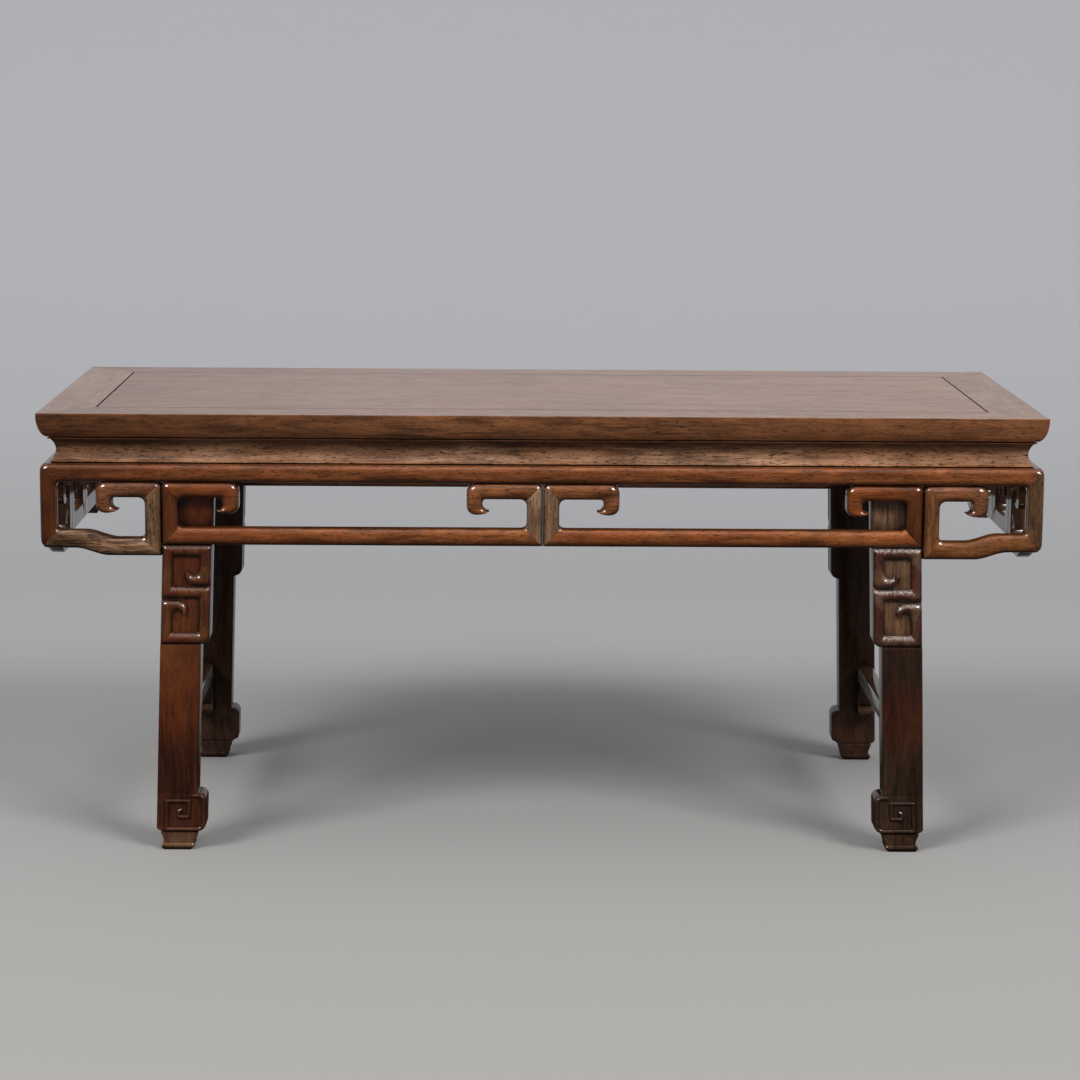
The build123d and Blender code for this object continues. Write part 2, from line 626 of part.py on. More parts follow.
# ------------------------------------------------------------------ panel and battens
field_x = WIDTH - 2 * (FRAME_WIDTH + PANEL_LINE)
field_y = DEPTH - 2 * (FRAME_WIDTH + PANEL_LINE)
panel_thick = FIELD_LIP + TONGUE_THICK
panel = Pos(0, 0, groove_low + panel_thick / 2) * Box(field_x, field_y, panel_thick)
panel += Pos(0, 0, groove_low + TONGUE_THICK / 2) * Box(
    field_x + 2 * TONGUE_LENGTH, field_y + 2 * TONGUE_LENGTH, TONGUE_THICK)
batten_names = ("left", "middle", "right")
for index in range(BATTEN_COUNT):
    x = (index - (BATTEN_COUNT - 1) / 2) * BATTEN_PITCH
    batten = Pos(x, 0, groove_low - BATTEN_DEPTH / 2) * Box(
        BATTEN_WIDTH, DEPTH - 2 * FRAME_WIDTH - 2 * FIT, BATTEN_DEPTH)
    panel -= batten_dovetail(x, FIT)
    batten += batten_dovetail(x, 0.0)
    batten += batten_tenons(x, 0.0)
    for long_rail in ("front", "back"):
        top_frame[long_rail] -= batten_tenons(x, FIT)
    parts[f"batten_{batten_names[index]}"] = batten

# ------------------------------------------------------------------ name every piece
for face in ("front", "back"):
    parts[f"top_rail_{face}"] = top_frame[face]
for face in ("left", "right"):
    parts[f"top_stile_{face}"] = top_frame[face]
parts["top_panel"] = panel
for face in waist:
    parts[f"waist_{face}"] = waist[face]
    parts[f"apron_rail_{face}"] = apron_rails[face]

for left_right, front_back in corner_signs:
    side = "right" if left_right else "left"
    face = "back" if front_back else "front"
    corner = f"{face}_{side}"
    for name, solid in (("leg", leg), ("corner_post", corner_post), ("wavy_rail", end_parts["wavy_rail"]),
                        ("long_rail", middle_parts["long_rail"]), ("side_wavy_rail", side_parts["wavy_rail"])):
        parts[f"{name}_{corner}"] = mirrored(solid, left_right, front_back)


def pairs(solids, plane):
    """Group of pieces and their mirror images, as separate solids."""
    return Compound(children=[*solids, *(mirror(solid, about=plane) for solid in solids)])


for face, back in (("front", False), ("back", True)):
    for name, solid in (("end_posts", end_parts["post"]), ("end_hooks", end_parts["hook"]),
                        ("leg_posts", middle_parts["left_post"]), ("leg_hooks", middle_parts["left_hook"]),
                        ("centre_posts", middle_parts["right_post"]),
                        ("centre_hooks", middle_parts["right_hook"])):
        parts[f"{face}_{name}"] = pairs([mirrored(solid, False, back)], Plane.YZ)

side_groups = {
    "side_posts": [side_parts["post"], side_middle_parts["left_post"], side_middle_parts["right_post"]],
    "side_hooks": [side_parts["hook"], side_middle_parts["left_hook"], side_middle_parts["right_hook"]],
    "side_long_rails": [side_middle_parts["long_rail"]],
    "stretcher_brackets": [bracket],
}
for side, right in (("left", False), ("right", True)):
    parts[f"stretcher_{side}"] = mirrored(stretcher, right, False)
    for name, solids in side_groups.items():
        parts[f"{name}_{side}"] = pairs([mirrored(solid, right, False) for solid in solids], Plane.XZ)

scroll_pegs = [mirrored(round_peg(SCROLL_PEG, place, (0, 0, 1), 0.0), left_right, front_back)
               for place in peg_places for left_right, front_back in corner_signs]
leg_pegs = [mirrored(round_peg(LEG_PEG, leg_peg_place, (0, 1, 0), 0.0), left_right, front_back)
            for left_right, front_back in corner_signs]
parts["scroll_pegs"] = Compound(children=scroll_pegs)
parts["leg_pegs"] = Compound(children=leg_pegs)

os.makedirs("parts", exist_ok=True)
for name, shape in parts.items():
    export_step(shape, f"parts/{name}.step")
print(len(parts), "nodes written")
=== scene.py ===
from math import atan2, cos, pi, radians, sin, sqrt, tan

import bmesh
import bpy
from mathutils import Matrix, Vector


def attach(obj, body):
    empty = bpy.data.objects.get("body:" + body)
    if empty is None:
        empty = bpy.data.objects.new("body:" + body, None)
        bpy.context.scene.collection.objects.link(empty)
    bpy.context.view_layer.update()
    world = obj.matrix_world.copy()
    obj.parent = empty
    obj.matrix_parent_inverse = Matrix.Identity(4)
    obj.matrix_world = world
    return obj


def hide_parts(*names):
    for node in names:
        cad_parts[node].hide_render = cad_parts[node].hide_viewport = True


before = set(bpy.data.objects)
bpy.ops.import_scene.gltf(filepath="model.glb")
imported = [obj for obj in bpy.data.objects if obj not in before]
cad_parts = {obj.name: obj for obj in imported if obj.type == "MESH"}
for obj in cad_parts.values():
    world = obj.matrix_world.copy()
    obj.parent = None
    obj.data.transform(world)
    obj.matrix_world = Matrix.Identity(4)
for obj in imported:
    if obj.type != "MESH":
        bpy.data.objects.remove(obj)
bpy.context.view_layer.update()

# ---------------------------------------------------------------- sizes of the table, metres
WIDTH = 0.900
DEPTH = 0.380
HEIGHT = 0.398
FRAME_WIDTH = 0.048
APRON_X = 0.448             # outer face of the end aprons, from the middle
APRON_Y = 0.188             # outer face of the long aprons, from the middle
MEMBER_DEPTH = 0.015
CORNER_POST = 0.0144
CORNER_ROUND = 0.007
OPENING_ROUND = 0.006
POST = 0.0145
STRAND = 0.0142             # width of the rails and the hooks' arms
SHANK = 0.0144              # width of a hook where it hangs down
WAVY_RAIL = 0.016
LOW_RAIL = 0.0155
SEAM = 0.00015              # half the open line between two posts
SEAM_X = 0.3403             # line between the end section and the middle section
SEAM_Y = 0.0885             # the same line in the end aprons
Z_FRAME = 0.374             # underside of the top frame
Z_APRON = 0.3525            # top of the apron
Z_STRAND = 0.3365           # top of the posts and hooks
Z_LOW = 0.2798              # underside of the long rails
Z_WAVY = 0.2698             # underside of the wavy rails, beside the leg
Z_CORNER = 0.2764           # underside of the wavy rails, at the corner post
Z_SIDE_LOW = 0.2753
Z_SIDE_WAVY = 0.2644
Z_HOOK = 0.3082             # lowest point of a hook
LEG_EDGE = 0.34015          # outer edge of a leg where it meets the apron, from the middle
LEG_WIDTH = 0.0364
LEG_DEPTH = 0.030
LEG_LEAN = 0.0305           # how far a leg leans outwards for each metre down
LEG_RAKE = radians(1.1)     # how far it leans to the front
PANEL_WIDTH = 0.0443
PANEL_HEIGHT = 0.090
PANEL_ROUND = 0.007
SCROLL_WIDTH = 0.0104
SCROLL_DEPTH = 0.0056
FOOT_ROUND = 0.006
BEAD_WIDTH = 0.0034
BEAD_DEPTH = 0.0024
STRETCHER_TOP = 0.0997
STRETCHER_HEIGHT = 0.017
STRETCHER_WIDTH = 0.0145
STRETCHER_LENGTH = 0.326
STRETCHER_ROUND = 0.0022
STRETCHER_SETBACK = 0.010   # middle of a stretcher, from the outer edge of the legs
BRACKET_STRAND = 0.0082
BRACKET_THICK = 0.016

LEFT = Vector((-1, 0))
RIGHT = Vector((1, 0))
UP = Vector((0, 1))
DOWN = Vector((0, -1))


# ================================================================ shader kit
class Value:
    """A value in a material: arithmetic on it adds Math nodes."""

    def __init__(self, tree, socket):
        self.tree = tree
        self.socket = socket

    def math(self, operation, first, second=0.0):
        node = self.tree.nodes.new("ShaderNodeMath")
        node.operation = operation
        for slot, item in ((0, first), (1, second)):
            if isinstance(item, Value):
                self.tree.links.new(item.socket, node.inputs[slot])
            else:
                node.inputs[slot].default_value = item
        return Value(self.tree, node.outputs[0])

    def __add__(self, other):
        return self.math("ADD", self, other)

    def __radd__(self, other):
        return self.math("ADD", other, self)

    def __sub__(self, other):
        return self.math("SUBTRACT", self, other)

    def __rsub__(self, other):
        return self.math("SUBTRACT", other, self)

    def __mul__(self, other):
        return self.math("MULTIPLY", self, other)

    def __rmul__(self, other):
        return self.math("MULTIPLY", other, self)

    def __abs__(self):
        return self.math("ABSOLUTE", self)


class Finish:
    """One material, or the world, and the nodes that make it."""

    def __init__(self, owner, shader="Principled BSDF"):
        owner.use_nodes = True
        self.owner = owner
        self.tree = owner.node_tree
        self.shader = self.tree.nodes[shader]

    def node(self, kind, settings=None, sockets=None, output=0):
        """Add a node of any kind: its settings first, then the values or links of its sockets."""
        node = self.tree.nodes.new(kind)
        for name, value in (settings or {}).items():
            if name == "stops":
                self.set_stops(node.color_ramp, value)
            else:
                setattr(node, name, value)
        for name, value in (sockets or {}).items():
            self.put(node.inputs[name], value)
        return Value(self.tree, node.outputs[output])

    def set_stops(self, ramp, stops):
        """Give a colour ramp its stops: (place, colour)."""
        while len(ramp.elements) < len(stops):
            ramp.elements.new(1.0)
        for element, (place, colour) in zip(ramp.elements, stops):
            element.position = place
            element.color = (*colour, 1.0)

    def put(self, socket, value):
        """Link a value to a socket, or set the socket's own number or colour."""
        if isinstance(value, Value):
            self.tree.links.new(value.socket, socket)
        elif isinstance(value, tuple) and socket.type == "RGBA":
            socket.default_value = (*value, 1.0)
        else:
            socket.default_value = value

    def set(self, **sockets):
        """Set or link the shader's own sockets; a name's underscores stand for spaces."""
        for name, value in sockets.items():
            self.put(self.shader.inputs[name.replace("_", " ")], value)


# sockets of a Mix node that mixes colours
MIX_FACTOR = 0
MIX_FIRST = 6
MIX_SECOND = 7
MIX_RESULT = 2


def span(finish, value, low, high):
    """0 at low, 1 at high."""
    return finish.node("ShaderNodeMapRange", {}, {"Value": value, "From Min": low, "From Max": high})


def blend(finish, factor, first, second, mode="MIX"):
    """Two colours mixed: the first at a factor of 0, the second at 1."""
    settings = {"data_type": "RGBA", "blend_type": mode}
    sockets = {MIX_FACTOR: factor, MIX_FIRST: first, MIX_SECOND: second}
    return finish.node("ShaderNodeMix", settings, sockets, MIX_RESULT)


def shaded(finish, colour, shade):
    return blend(finish, 1.0, colour, shade, "MULTIPLY")


def component(finish, vector, axis):
    return finish.node("ShaderNodeSeparateXYZ", {}, {"Vector": vector}, "XYZ".index(axis))


def pattern(finish, place, grain, seed, kind):
    """Noise drawn out along the grain. The kinds are listed below."""
    length, width, shift, size, detail, rough, distortion = kind
    stretch = tuple(length if axis == grain else width for axis in "XYZ")
    start = tuple((seed + shift) * share for share in START_SHARES)
    drawn = finish.node("ShaderNodeMapping", {}, {"Vector": place, "Scale": stretch, "Location": start})
    return finish.node("ShaderNodeTexNoise", {}, {"Vector": drawn, "Scale": size, "Detail": detail,
                                                  "Roughness": rough, "Distortion": distortion})


START_SHARES = (1, 0.7, 1.3)    # how a pattern's start is shared out over the three axes

# patterns of the wood: scale along the grain, scale across it, shift, size, detail, roughness, distortion
FIGURE = (1.0, 7.0, 0.0, 24, 4, 0.6, 0.8)
BANDS = (0.5, 3.0, 3.1, 16, 2, 0.5, 0.4)
FIBRE = (1.5, 34.0, 0.0, 22, 3, 0.6, 0.0)
PORES = (4.5, 30.0, 0.0, 38, 2, 0.6, 0.0)
MOTTLE = (1.0, 1.8, 5.7, 34, 5, 0.65, 0.3)
PATCHES = (1.0, 1.6, 1.9, 9, 3, 0.6, 0.0)
CRACKS = (0.35, 30.0, 2.2, 13, 1, 0.5, 0.0)


def clouds(size):
    """Pattern of the warm clouds, whose size is each wood's own."""
    return 1.0, 1.6, 7.3, size, 3, 0.6, 0.0


# spans of a pattern or of a direction over which an effect comes up
TONE_SPAN = (0.39, 0.59)
FLUSH_SPAN = (0.48, 0.60)
PORE_SPAN = (0.57, 0.64)
MOTTLE_SPAN = (0.50, 0.66)
PATCH_SPAN = (0.50, 0.68)
CRACK_SPAN = (0.67, 0.70)
FACING_LIGHT_SPAN = (-0.65, 0.65)
CREST_SPAN = (0.15, 0.95)
SHEEN_SPAN = (0.08, 0.65)
SHEEN_FIBRE_SPAN = (0.38, 0.60)
FACE_SPAN = (0.6, 0.95)
CREVICE_SPAN = (0.94, 0.25)
WEAR_SPAN = (0.1, 0.9)

# shares of the patterns in the tone, in the stains and in the relief
FIGURE_TONE = 0.45
FIBRE_TONE = 0.25
BAND_TONE = 0.30
MOTTLE_STAIN = 0.6
PATCH_STAIN = 0.5
FIBRE_RELIEF = 0.5
PORE_RELIEF = 0.5
MOTTLE_RELIEF = 0.35
RELIEF_STRENGTH = 0.35
RELIEF_HEIGHT = 0.0004
WEAR_RANGE = 0.16           # spread of the roughness, from the polished spots to the dull ones
LACQUER_IOR = 1.8

# painted light and shade on rounded members: the flat middle is lightened, the rolled sides are darkened
CREST_SHADE = 1.10          # shade of the flat middle of a rounded member
PORE_SHADE = 0.22           # colour of a pore, as a share of the dark tone
STAIN = (0.020, 0.010, 0.006)
CRACK_TONE = (0.030, 0.016, 0.010)
CREVICE_GRIME_AND_SHADE = (0.004, 0.002, 0.001)
CREVICE_REACH = 0.012
CREVICE_DEPTH = 0.96        # how far the deepest crevice goes to its tone
CREVICE_SAMPLES = 6
HEIGHT_SCALE = 2.5          # height in the leg shades for each metre
LENGTH_SHIFT = 0.5          # brings the table's middle to the middle of the length shades
LENGTH_SHADES = [(0.05, (0.70, 0.60, 0.52)), (0.32, (1.0, 1.0, 1.0)), (0.95, (1.14, 1.10, 1.04))]
# painted light and shade by facing: faces that look down are darkened, faces that look up are lightened
FACING_LIGHT_AND_SHADE = (0.27, 1.28)     # shade of the faces that look down, and what is added for those that look up
FLUSH = ((0.150, 0.048, 0.014), 0.35, 9)


def painted_light_by_facing(finish, colour, tone, fibre, facing_light, crest, rolled, painted_sheen, faces):
    """Painted light and shade by direction: lighter tops and darker undersides, painted shade on rolled
    sides, painted sheen on upper slopes, and faces with their own tones.
    """
    normal = finish.node("ShaderNodeNewGeometry", output="Normal")
    upward = component(finish, normal, "Z")
    # painted light and shade: lighter where the face looks up, darker where it looks down
    colour = shaded(finish, colour, span(finish, upward, *FACING_LIGHT_SPAN) * facing_light[1] + facing_light[0])
    # painted shade on the rolled sides of a rounded member, lighter on its flat middle
    if crest:
        flat = span(finish, abs(component(finish, normal, crest)), *CREST_SPAN)
        colour = shaded(finish, colour, flat * (CREST_SHADE - rolled) + rolled)
    # painted sheen: upper slopes made paler along the fibre, for the reflection of light from above
    if painted_sheen:
        pale, amount = painted_sheen
        sheen = span(finish, upward, *SHEEN_SPAN) * span(finish, fibre, *SHEEN_FIBRE_SPAN)
        colour = blend(finish, sheen * amount, colour, pale)
    if faces:
        axis, side, tones = faces
        there = span(finish, component(finish, normal, axis) * side, *FACE_SPAN)
        colour = blend(finish, there, colour, blend(finish, tone, *tones))
    return colour


def shaded_along(finish, colour, measure, shades):
    """Shade a colour by a measure of 0 to 1 along the piece."""
    return shaded(finish, colour, finish.node("ShaderNodeValToRGB", {"stops": shades}, {"Fac": measure}))


def wood(name, grain, tones, seed, stained=0.5, pores=0.7, rough=0.42, coat=0.9, coat_rough=0.09, ior=1.05,
         flush=FLUSH, heights=None, faces=None, cracks=0.0, crest=None, rolled=0.40, painted_sheen=None,
         facing_light=FACING_LIGHT_AND_SHADE):
    """Old polished hardwood: streaked figure, pores along the grain, stains, crevices darkened by grime and
    painted shade, and painted light and shade by facing and height.

    flush is (colour, amount, size) of warm clouds; faces is (axis, side, tones) for one side of a piece: the
    top faces' partly painted sheen, the back legs' outer faces, and the painted reflection on the
    stretchers' inner faces.
    """
    finish = Finish(bpy.data.materials.new(name))
    place = finish.node("ShaderNodeTexCoord", output="Object")
    figure, bands, fibre, pore, mottle, patch = (
        pattern(finish, place, grain, seed, kind) for kind in (FIGURE, BANDS, FIBRE, PORES, MOTTLE, PATCHES))
    pore = span(finish, pore, *PORE_SPAN)

    tone = span(finish, figure * FIGURE_TONE + fibre * FIBRE_TONE + bands * BAND_TONE, *TONE_SPAN)
    colour = blend(finish, tone, *tones)
    warm_tone, warm_amount, warm_size = flush
    warm = pattern(finish, place, grain, seed, clouds(warm_size))
    colour = blend(finish, span(finish, warm, *FLUSH_SPAN) * warm_amount, colour, warm_tone)
    colour = painted_light_by_facing(finish, colour, tone, fibre, facing_light, crest, rolled, painted_sheen, faces)
    if heights:
        colour = shaded_along(finish, colour, component(finish, place, "Z") * HEIGHT_SCALE, heights)
    spots = span(finish, mottle, *MOTTLE_SPAN) * MOTTLE_STAIN
    spots += span(finish, patch, *PATCH_SPAN) * PATCH_STAIN
    colour = blend(finish, spots * stained, colour, STAIN)
    if cracks:
        crack = span(finish, pattern(finish, place, grain, seed, CRACKS), *CRACK_SPAN)
        colour = blend(finish, crack * cracks, colour, CRACK_TONE)
    if grain == "X":
        colour = shaded_along(finish, colour, component(finish, place, "X") + LENGTH_SHIFT, LENGTH_SHADES)
    colour = blend(finish, pore * pores, colour, tuple(channel * PORE_SHADE for channel in tones[0]))
    # grime and painted shade: darker in crevices, seams and inner corners, by ambient occlusion
    crevice = finish.node("ShaderNodeAmbientOcclusion", {"samples": CREVICE_SAMPLES},
                          {"Distance": CREVICE_REACH}, "AO")
    colour = blend(finish, span(finish, crevice, *CREVICE_SPAN) * CREVICE_DEPTH, colour, CREVICE_GRIME_AND_SHADE)
    relief = fibre * FIBRE_RELIEF - pore * PORE_RELIEF + mottle * MOTTLE_RELIEF
    bump = finish.node("ShaderNodeBump", {}, {"Strength": RELIEF_STRENGTH, "Distance": RELIEF_HEIGHT,
                                              "Height": relief})
    wear = span(finish, mottle, *WEAR_SPAN) * WEAR_RANGE + (rough - WEAR_RANGE / 2)
    finish.set(Base_Color=colour, Roughness=wear, IOR=ior, Coat_Weight=coat, Coat_Roughness=coat_rough,
               Coat_IOR=LACQUER_IOR, Normal=bump)
    return finish.owner


# colours of the paper from the front of the floor to the backdrop
PAPER_STOPS = [(0.0, (0.395, 0.382, 0.357)), (0.25, (0.388, 0.382, 0.370)), (0.42, (0.380, 0.380, 0.386)),
               (0.70, (0.520, 0.522, 0.532)), (1.0, (0.496, 0.503, 0.520))]
PAPER_REACH = (-1.5, 5.0)
UNLIT_REACH = (0.28, 0.12)  # in reflections the floor is dark in front of this
UNLIT = (0.02, 0.02, 0.02)


def sweep_finish():
    """Matt grey paper of the floor and the backdrop, cooler as it rises."""
    finish = Finish(bpy.data.materials.new("studio_paper"))
    place = finish.node("ShaderNodeTexCoord", output="Object")
    depth = component(finish, place, "Y")
    share = span(finish, depth, *PAPER_REACH)
    paper = finish.node("ShaderNodeValToRGB", {"stops": PAPER_STOPS}, {"Fac": share})
    # painted reflection: glossy rays see the floor in front of the table as dark, unlit paper
    mirrored = finish.node("ShaderNodeLightPath", output="Is Glossy Ray")
    paper = blend(finish, mirrored * span(finish, depth, *UNLIT_REACH), paper, UNLIT)
    finish.set(Base_Color=paper, Roughness=0.8, Specular_IOR_Level=0.2)
    return finish.owner


# ================================================================ modelling kit
SQUARE_CORNER = Vector((-0.5, -0.5, 0))
ALMOST_HALF = 0.499         # the corners of a section lie further out than this share of its width
SMOOTH_ANGLE = 35           # faces that meet at less than this, in degrees, are shaded as one


def start_piece(name):
    """A unit square to model a piece from, in edit mode, all of it selected."""
    bpy.ops.object.select_all(action="DESELECT")
    bpy.ops.mesh.primitive_plane_add(size=1, location=(0, 0, 0))
    piece = bpy.context.object
    piece.name = name
    bpy.ops.object.mode_set(mode="EDIT")
    return piece


def pick(piece, kind, test):
    """Select the vertices, edges or faces that pass a test, and nothing else."""
    bpy.ops.mesh.select_mode(type=kind)
    bpy.ops.mesh.select_all(action="DESELECT")
    mesh = bmesh.from_edit_mesh(piece.data)
    for element in {"VERT": mesh.verts, "EDGE": mesh.edges, "FACE": mesh.faces}[kind]:
        if test(element):
            element.select_set(True)
    bmesh.update_edit_mesh(piece.data)


def pick_all():
    bpy.ops.mesh.select_all(action="SELECT")


def extrude(move=(0, 0, 0)):
    bpy.ops.mesh.extrude_region_move(TRANSFORM_OT_translate={"value": move})


def turn_picked(angle, axis, pivot):
    """Turn what is selected; about Y, a positive angle takes +X towards +Z."""
    bpy.ops.transform.rotate(value=angle, orient_axis=axis, center_override=pivot)


def draw_outline(piece, points):
    """Replace the square by a face with this outline, in the XZ plane."""
    pick(piece, "VERT", lambda vertex: not (vertex.co.x < 0 and vertex.co.y < 0))
    bpy.ops.mesh.delete(type="VERT")
    pick_all()
    place = SQUARE_CORNER
    for index, point in enumerate(points):
        target = Vector((point[0], 0, point[1]))
        if index == 0:
            bpy.ops.transform.translate(value=target - place)
        else:
            extrude(target - place)
        place = target
    pick_all()
    bpy.ops.mesh.edge_face_add()


def round_section_corner(piece, width, depth, side_x, side_y, wide, deep, steps):
    """Round one corner of a rectangular section about the origin."""
    pick(piece, "VERT", lambda vertex: (vertex.co.x * side_x > ALMOST_HALF * width
                                        and vertex.co.y * side_y > ALMOST_HALF * depth))
    bpy.ops.mesh.bevel(offset=deep, affect="VERTICES", segments=steps, profile=0.5)
    bpy.ops.transform.resize(value=(wide / deep, 1, 1), center_override=(side_x * width / 2, 0, 0))


def close_piece(piece, angle=SMOOTH_ANGLE):
    """Leave edit mode with the faces outwards and the shading set."""
    pick_all()
    bpy.ops.mesh.normals_make_consistent(inside=False)
    bpy.ops.object.mode_set(mode="OBJECT")
    bpy.ops.object.shade_smooth_by_angle(angle=radians(angle))


def pick_only(piece):
    bpy.ops.object.select_all(action="DESELECT")
    piece.select_set(True)
    bpy.context.view_layer.objects.active = piece


def apply_place(piece):
    pick_only(piece)
    bpy.ops.object.transform_apply(location=True, rotation=True, scale=True)


def keep_side(piece, point, normal, fill=True):
    """Cut a piece by a plane and keep what the normal points to."""
    pick_all()
    bpy.ops.mesh.bisect(plane_co=point, plane_no=normal, use_fill=fill, clear_inner=True)


def move_piece(piece, matrix):
    """Place a finished piece, with the change in its mesh."""
    piece.matrix_world = matrix @ piece.matrix_world
    apply_place(piece)
    if matrix.determinant() < 0:
        bpy.ops.object.mode_set(mode="EDIT")
        pick_all()
        bpy.ops.mesh.normals_make_consistent(inside=False)
        bpy.ops.object.mode_set(mode="OBJECT")


def copy_piece(piece, name, matrix):
    """Copy of a piece with its own mesh, placed by a matrix."""
    pick_only(piece)
    bpy.ops.object.duplicate(linked=False)
    twin = bpy.context.object
    twin.name = name
    move_piece(twin, matrix)
    return twin


def join_pieces(pieces, name):
    pick_only(pieces[0])
    for piece in pieces:
        piece.select_set(True)
    bpy.ops.object.join()
    pieces[0].name = name
    return pieces[0]


MIRROR_X = Matrix.Diagonal((-1, 1, 1, 1))
MIRROR_Y = Matrix.Diagonal((1, -1, 1, 1))
CORNERS = {
    "front_left": Matrix.Identity(4),
    "front_right": MIRROR_X,
    "back_left": MIRROR_Y,
    "back_right": MIRROR_X @ MIRROR_Y,
}


# ================================================================ strands: members that turn corners
TURN_STEPS = 6
PILLOW_STEPS = 5
APPROACH_STEPS = 8          # stations on the straight before a turn, for a turn that starts at the mitre
LEAST_STEPS = 2
SHARP = 0.0003              # an outer round below this is left as a corner
BACK_ROUND = 0.0008
SAME = 1e-7                 # lengths and angles that differ by less are taken as the same
END_CORNERS = 10            # an end face has more corners than this, and a larger area than the next
END_AREA = 0.00002
END_BREAK = 0.0003


def turned(vector, angle):
    return Vector((vector.x * cos(angle) - vector.y * sin(angle),
                   vector.x * sin(angle) + vector.y * cos(angle)))


def turn(outer, inner, outer_round, inner_round, before, after):
    """Stations round one corner of a strand, as pairs of points on its outer and inner edges.

    before and after are the outward normals of the two runs that meet. The middle station is the mitre.
    """
    outer = Vector(outer)
    inner = Vector(inner)
    spread = (before + after) / (1 + before.dot(after))
    centre = inner - spread * inner_round
    outer_centre = outer - spread * outer_round
    whole = atan2(before.x * after.y - before.y * after.x, before.dot(after))
    near = (outer - centre).dot(before)
    far = (outer - centre).dot(after)

    def ray_angle(point):
        ray = point - centre
        return atan2(before.x * ray.y - before.y * ray.x, before.dot(ray)) / whole

    rounded = [outer_centre + turned(before, whole * step / TURN_STEPS) * outer_round
               for step in range(TURN_STEPS + 1)]
    if outer_round < SHARP:
        rounded = [outer]
    first = ray_angle(rounded[0])
    last = ray_angle(rounded[-1])
    approach = max(LEAST_STEPS, round(first * APPROACH_STEPS))
    stations = []
    for step in range(approach):
        angle = first * step / approach * whole
        stations.append((centre + turned(before, angle) * near / cos(angle), angle))
    stations += [(point, ray_angle(point) * whole) for point in rounded]
    leaving = max(LEAST_STEPS, round((1 - last) * APPROACH_STEPS))
    for step in range(1, leaving + 1):
        angle = (last + (1 - last) * step / leaving) * whole
        stations.append((centre + turned(before, angle) * far / cos(whole - angle), angle))
    pairs = [(point, centre + turned(before, angle) * inner_round) for point, angle in stations]
    mitre = approach + len(rounded) // 2
    return pairs[:mitre + 1], pairs[mitre:]


# outer edge and inner edge (along, up), in millimetres from the hook's low corner, and share of the depth
HOOK_ROWS = ((20.0, 2.95, 20.15, 3.15, 0.90), (18.3, 2.0, 19.5, 3.5, 0.95), (15.2, 0.75, 18.7, 3.75, 0.99),
             (11.6, 0.05, 17.8, 4.05, 1), (7.6, 0.0, 16.9, 4.45, 1), (4.5, 0.75, 16.0, 5.1, 1),
             (2.1, 2.4, 15.2, 6.0, 1), (0.6, 4.7, 14.6, 7.1, 1), (0.0, 7.6, 14.4, 8.6, 1),
             (0.0, 11.0, 14.4, 11.0, 1))


def hook_end(outer, side):
    """Stations of a hook from its tip, round the chin and up to the shank. The shank faces side."""
    stations = []
    for out_along, out_up, in_along, in_up, deep in HOOK_ROWS:
        stations.append((Vector((outer - side * out_along / 1000, Z_HOOK + out_up / 1000)),
                         Vector((outer - side * in_along / 1000, Z_HOOK + in_up / 1000)), deep))
    return stations


def ring_frame(station):
    across = station[1] - station[0]
    deep = station[2] if len(station) > 2 else 1
    return (station[0] + station[1]) / 2, atan2(across.y, across.x), across.length, deep


def move_ring(start, end, depth):
    """Carry the selected ring from one station to the next."""
    middle, angle, width, deep = start
    next_middle, next_angle, next_width, next_deep = end
    pivot = (middle.x, depth, middle.y)
    if abs(next_width - width) > SAME or next_deep != deep:
        turn_picked(-angle, "Y", pivot)
        bpy.ops.transform.resize(value=(next_width / width, next_deep / deep, 1), center_override=pivot)
        turn_picked(next_angle, "Y", pivot)
    elif abs(next_angle - angle) > SAME:
        turn_picked(next_angle - angle, "Y", pivot)
    shift = next_middle - middle
    bpy.ops.transform.translate(value=(shift.x, 0, shift.y))


def make_strand(name, stations, depth, width, outer_round, inner_round, back_round=BACK_ROUND):
    """Member swept through its stations; its front is at Y = 0. A round is (across, deep)."""
    piece = start_piece(name)
    bpy.ops.transform.resize(value=(width, depth, 1))
    for side_x, (wide, deep) in ((-1, outer_round), (1, inner_round)):
        round_section_corner(piece, width, depth, side_x, -1, wide, deep, PILLOW_STEPS)
    for side_x in (-1, 1):
        round_section_corner(piece, width, depth, side_x, 1, back_round, back_round, 1)
    pick_all()
    bpy.ops.transform.translate(value=(0, depth / 2, 0))
    place = (Vector((0, 0)), 0.0, width, 1)
    for index, station in enumerate(stations):
        target = ring_frame(station)
        if index:
            extrude()
        move_ring(place, target, depth)
        place = target
    return piece


def soften_ends(piece):
    """Break the edges of both end faces, so that a joint shows as a fine line."""
    pick(piece, "FACE", lambda face: len(face.verts) > END_CORNERS and face.calc_area() > END_AREA)
    bpy.ops.mesh.region_to_loop()
    bpy.ops.mesh.bevel(offset=END_BREAK, offset_type="WIDTH", segments=1, affect="EDGES",
                       clamp_overlap=True)


# rounds of the front arrises: (across, deep)
PILLOW_OUTER = (0.0062, 0.0052)
PILLOW_INNER = (0.0060, 0.0040)
CORNER_PILLOW = (0.0050, 0.0050)
RAIL_PILLOWS = ((0.0048, 0.0048), (0.0048, 0.0042))
POST_TURN = 0.0055          # outer round of a post's top
HOOK_TURN = 0.009           # outer round of a hook's shoulder
HOOK_OPENING = 0.003        # inner round of a hook's shoulder
CORNER_OPENING = OPENING_ROUND - 0.001
WAVE_STEPS = 12
WAVE_TRAIL = 0.0086         # how much nearer to its post the upper edge of a wave is
WAVE_LEAD = 0.005           # how far the curve runs on at both ends of the dip
WELD = 0.00002              # points closer than this become one


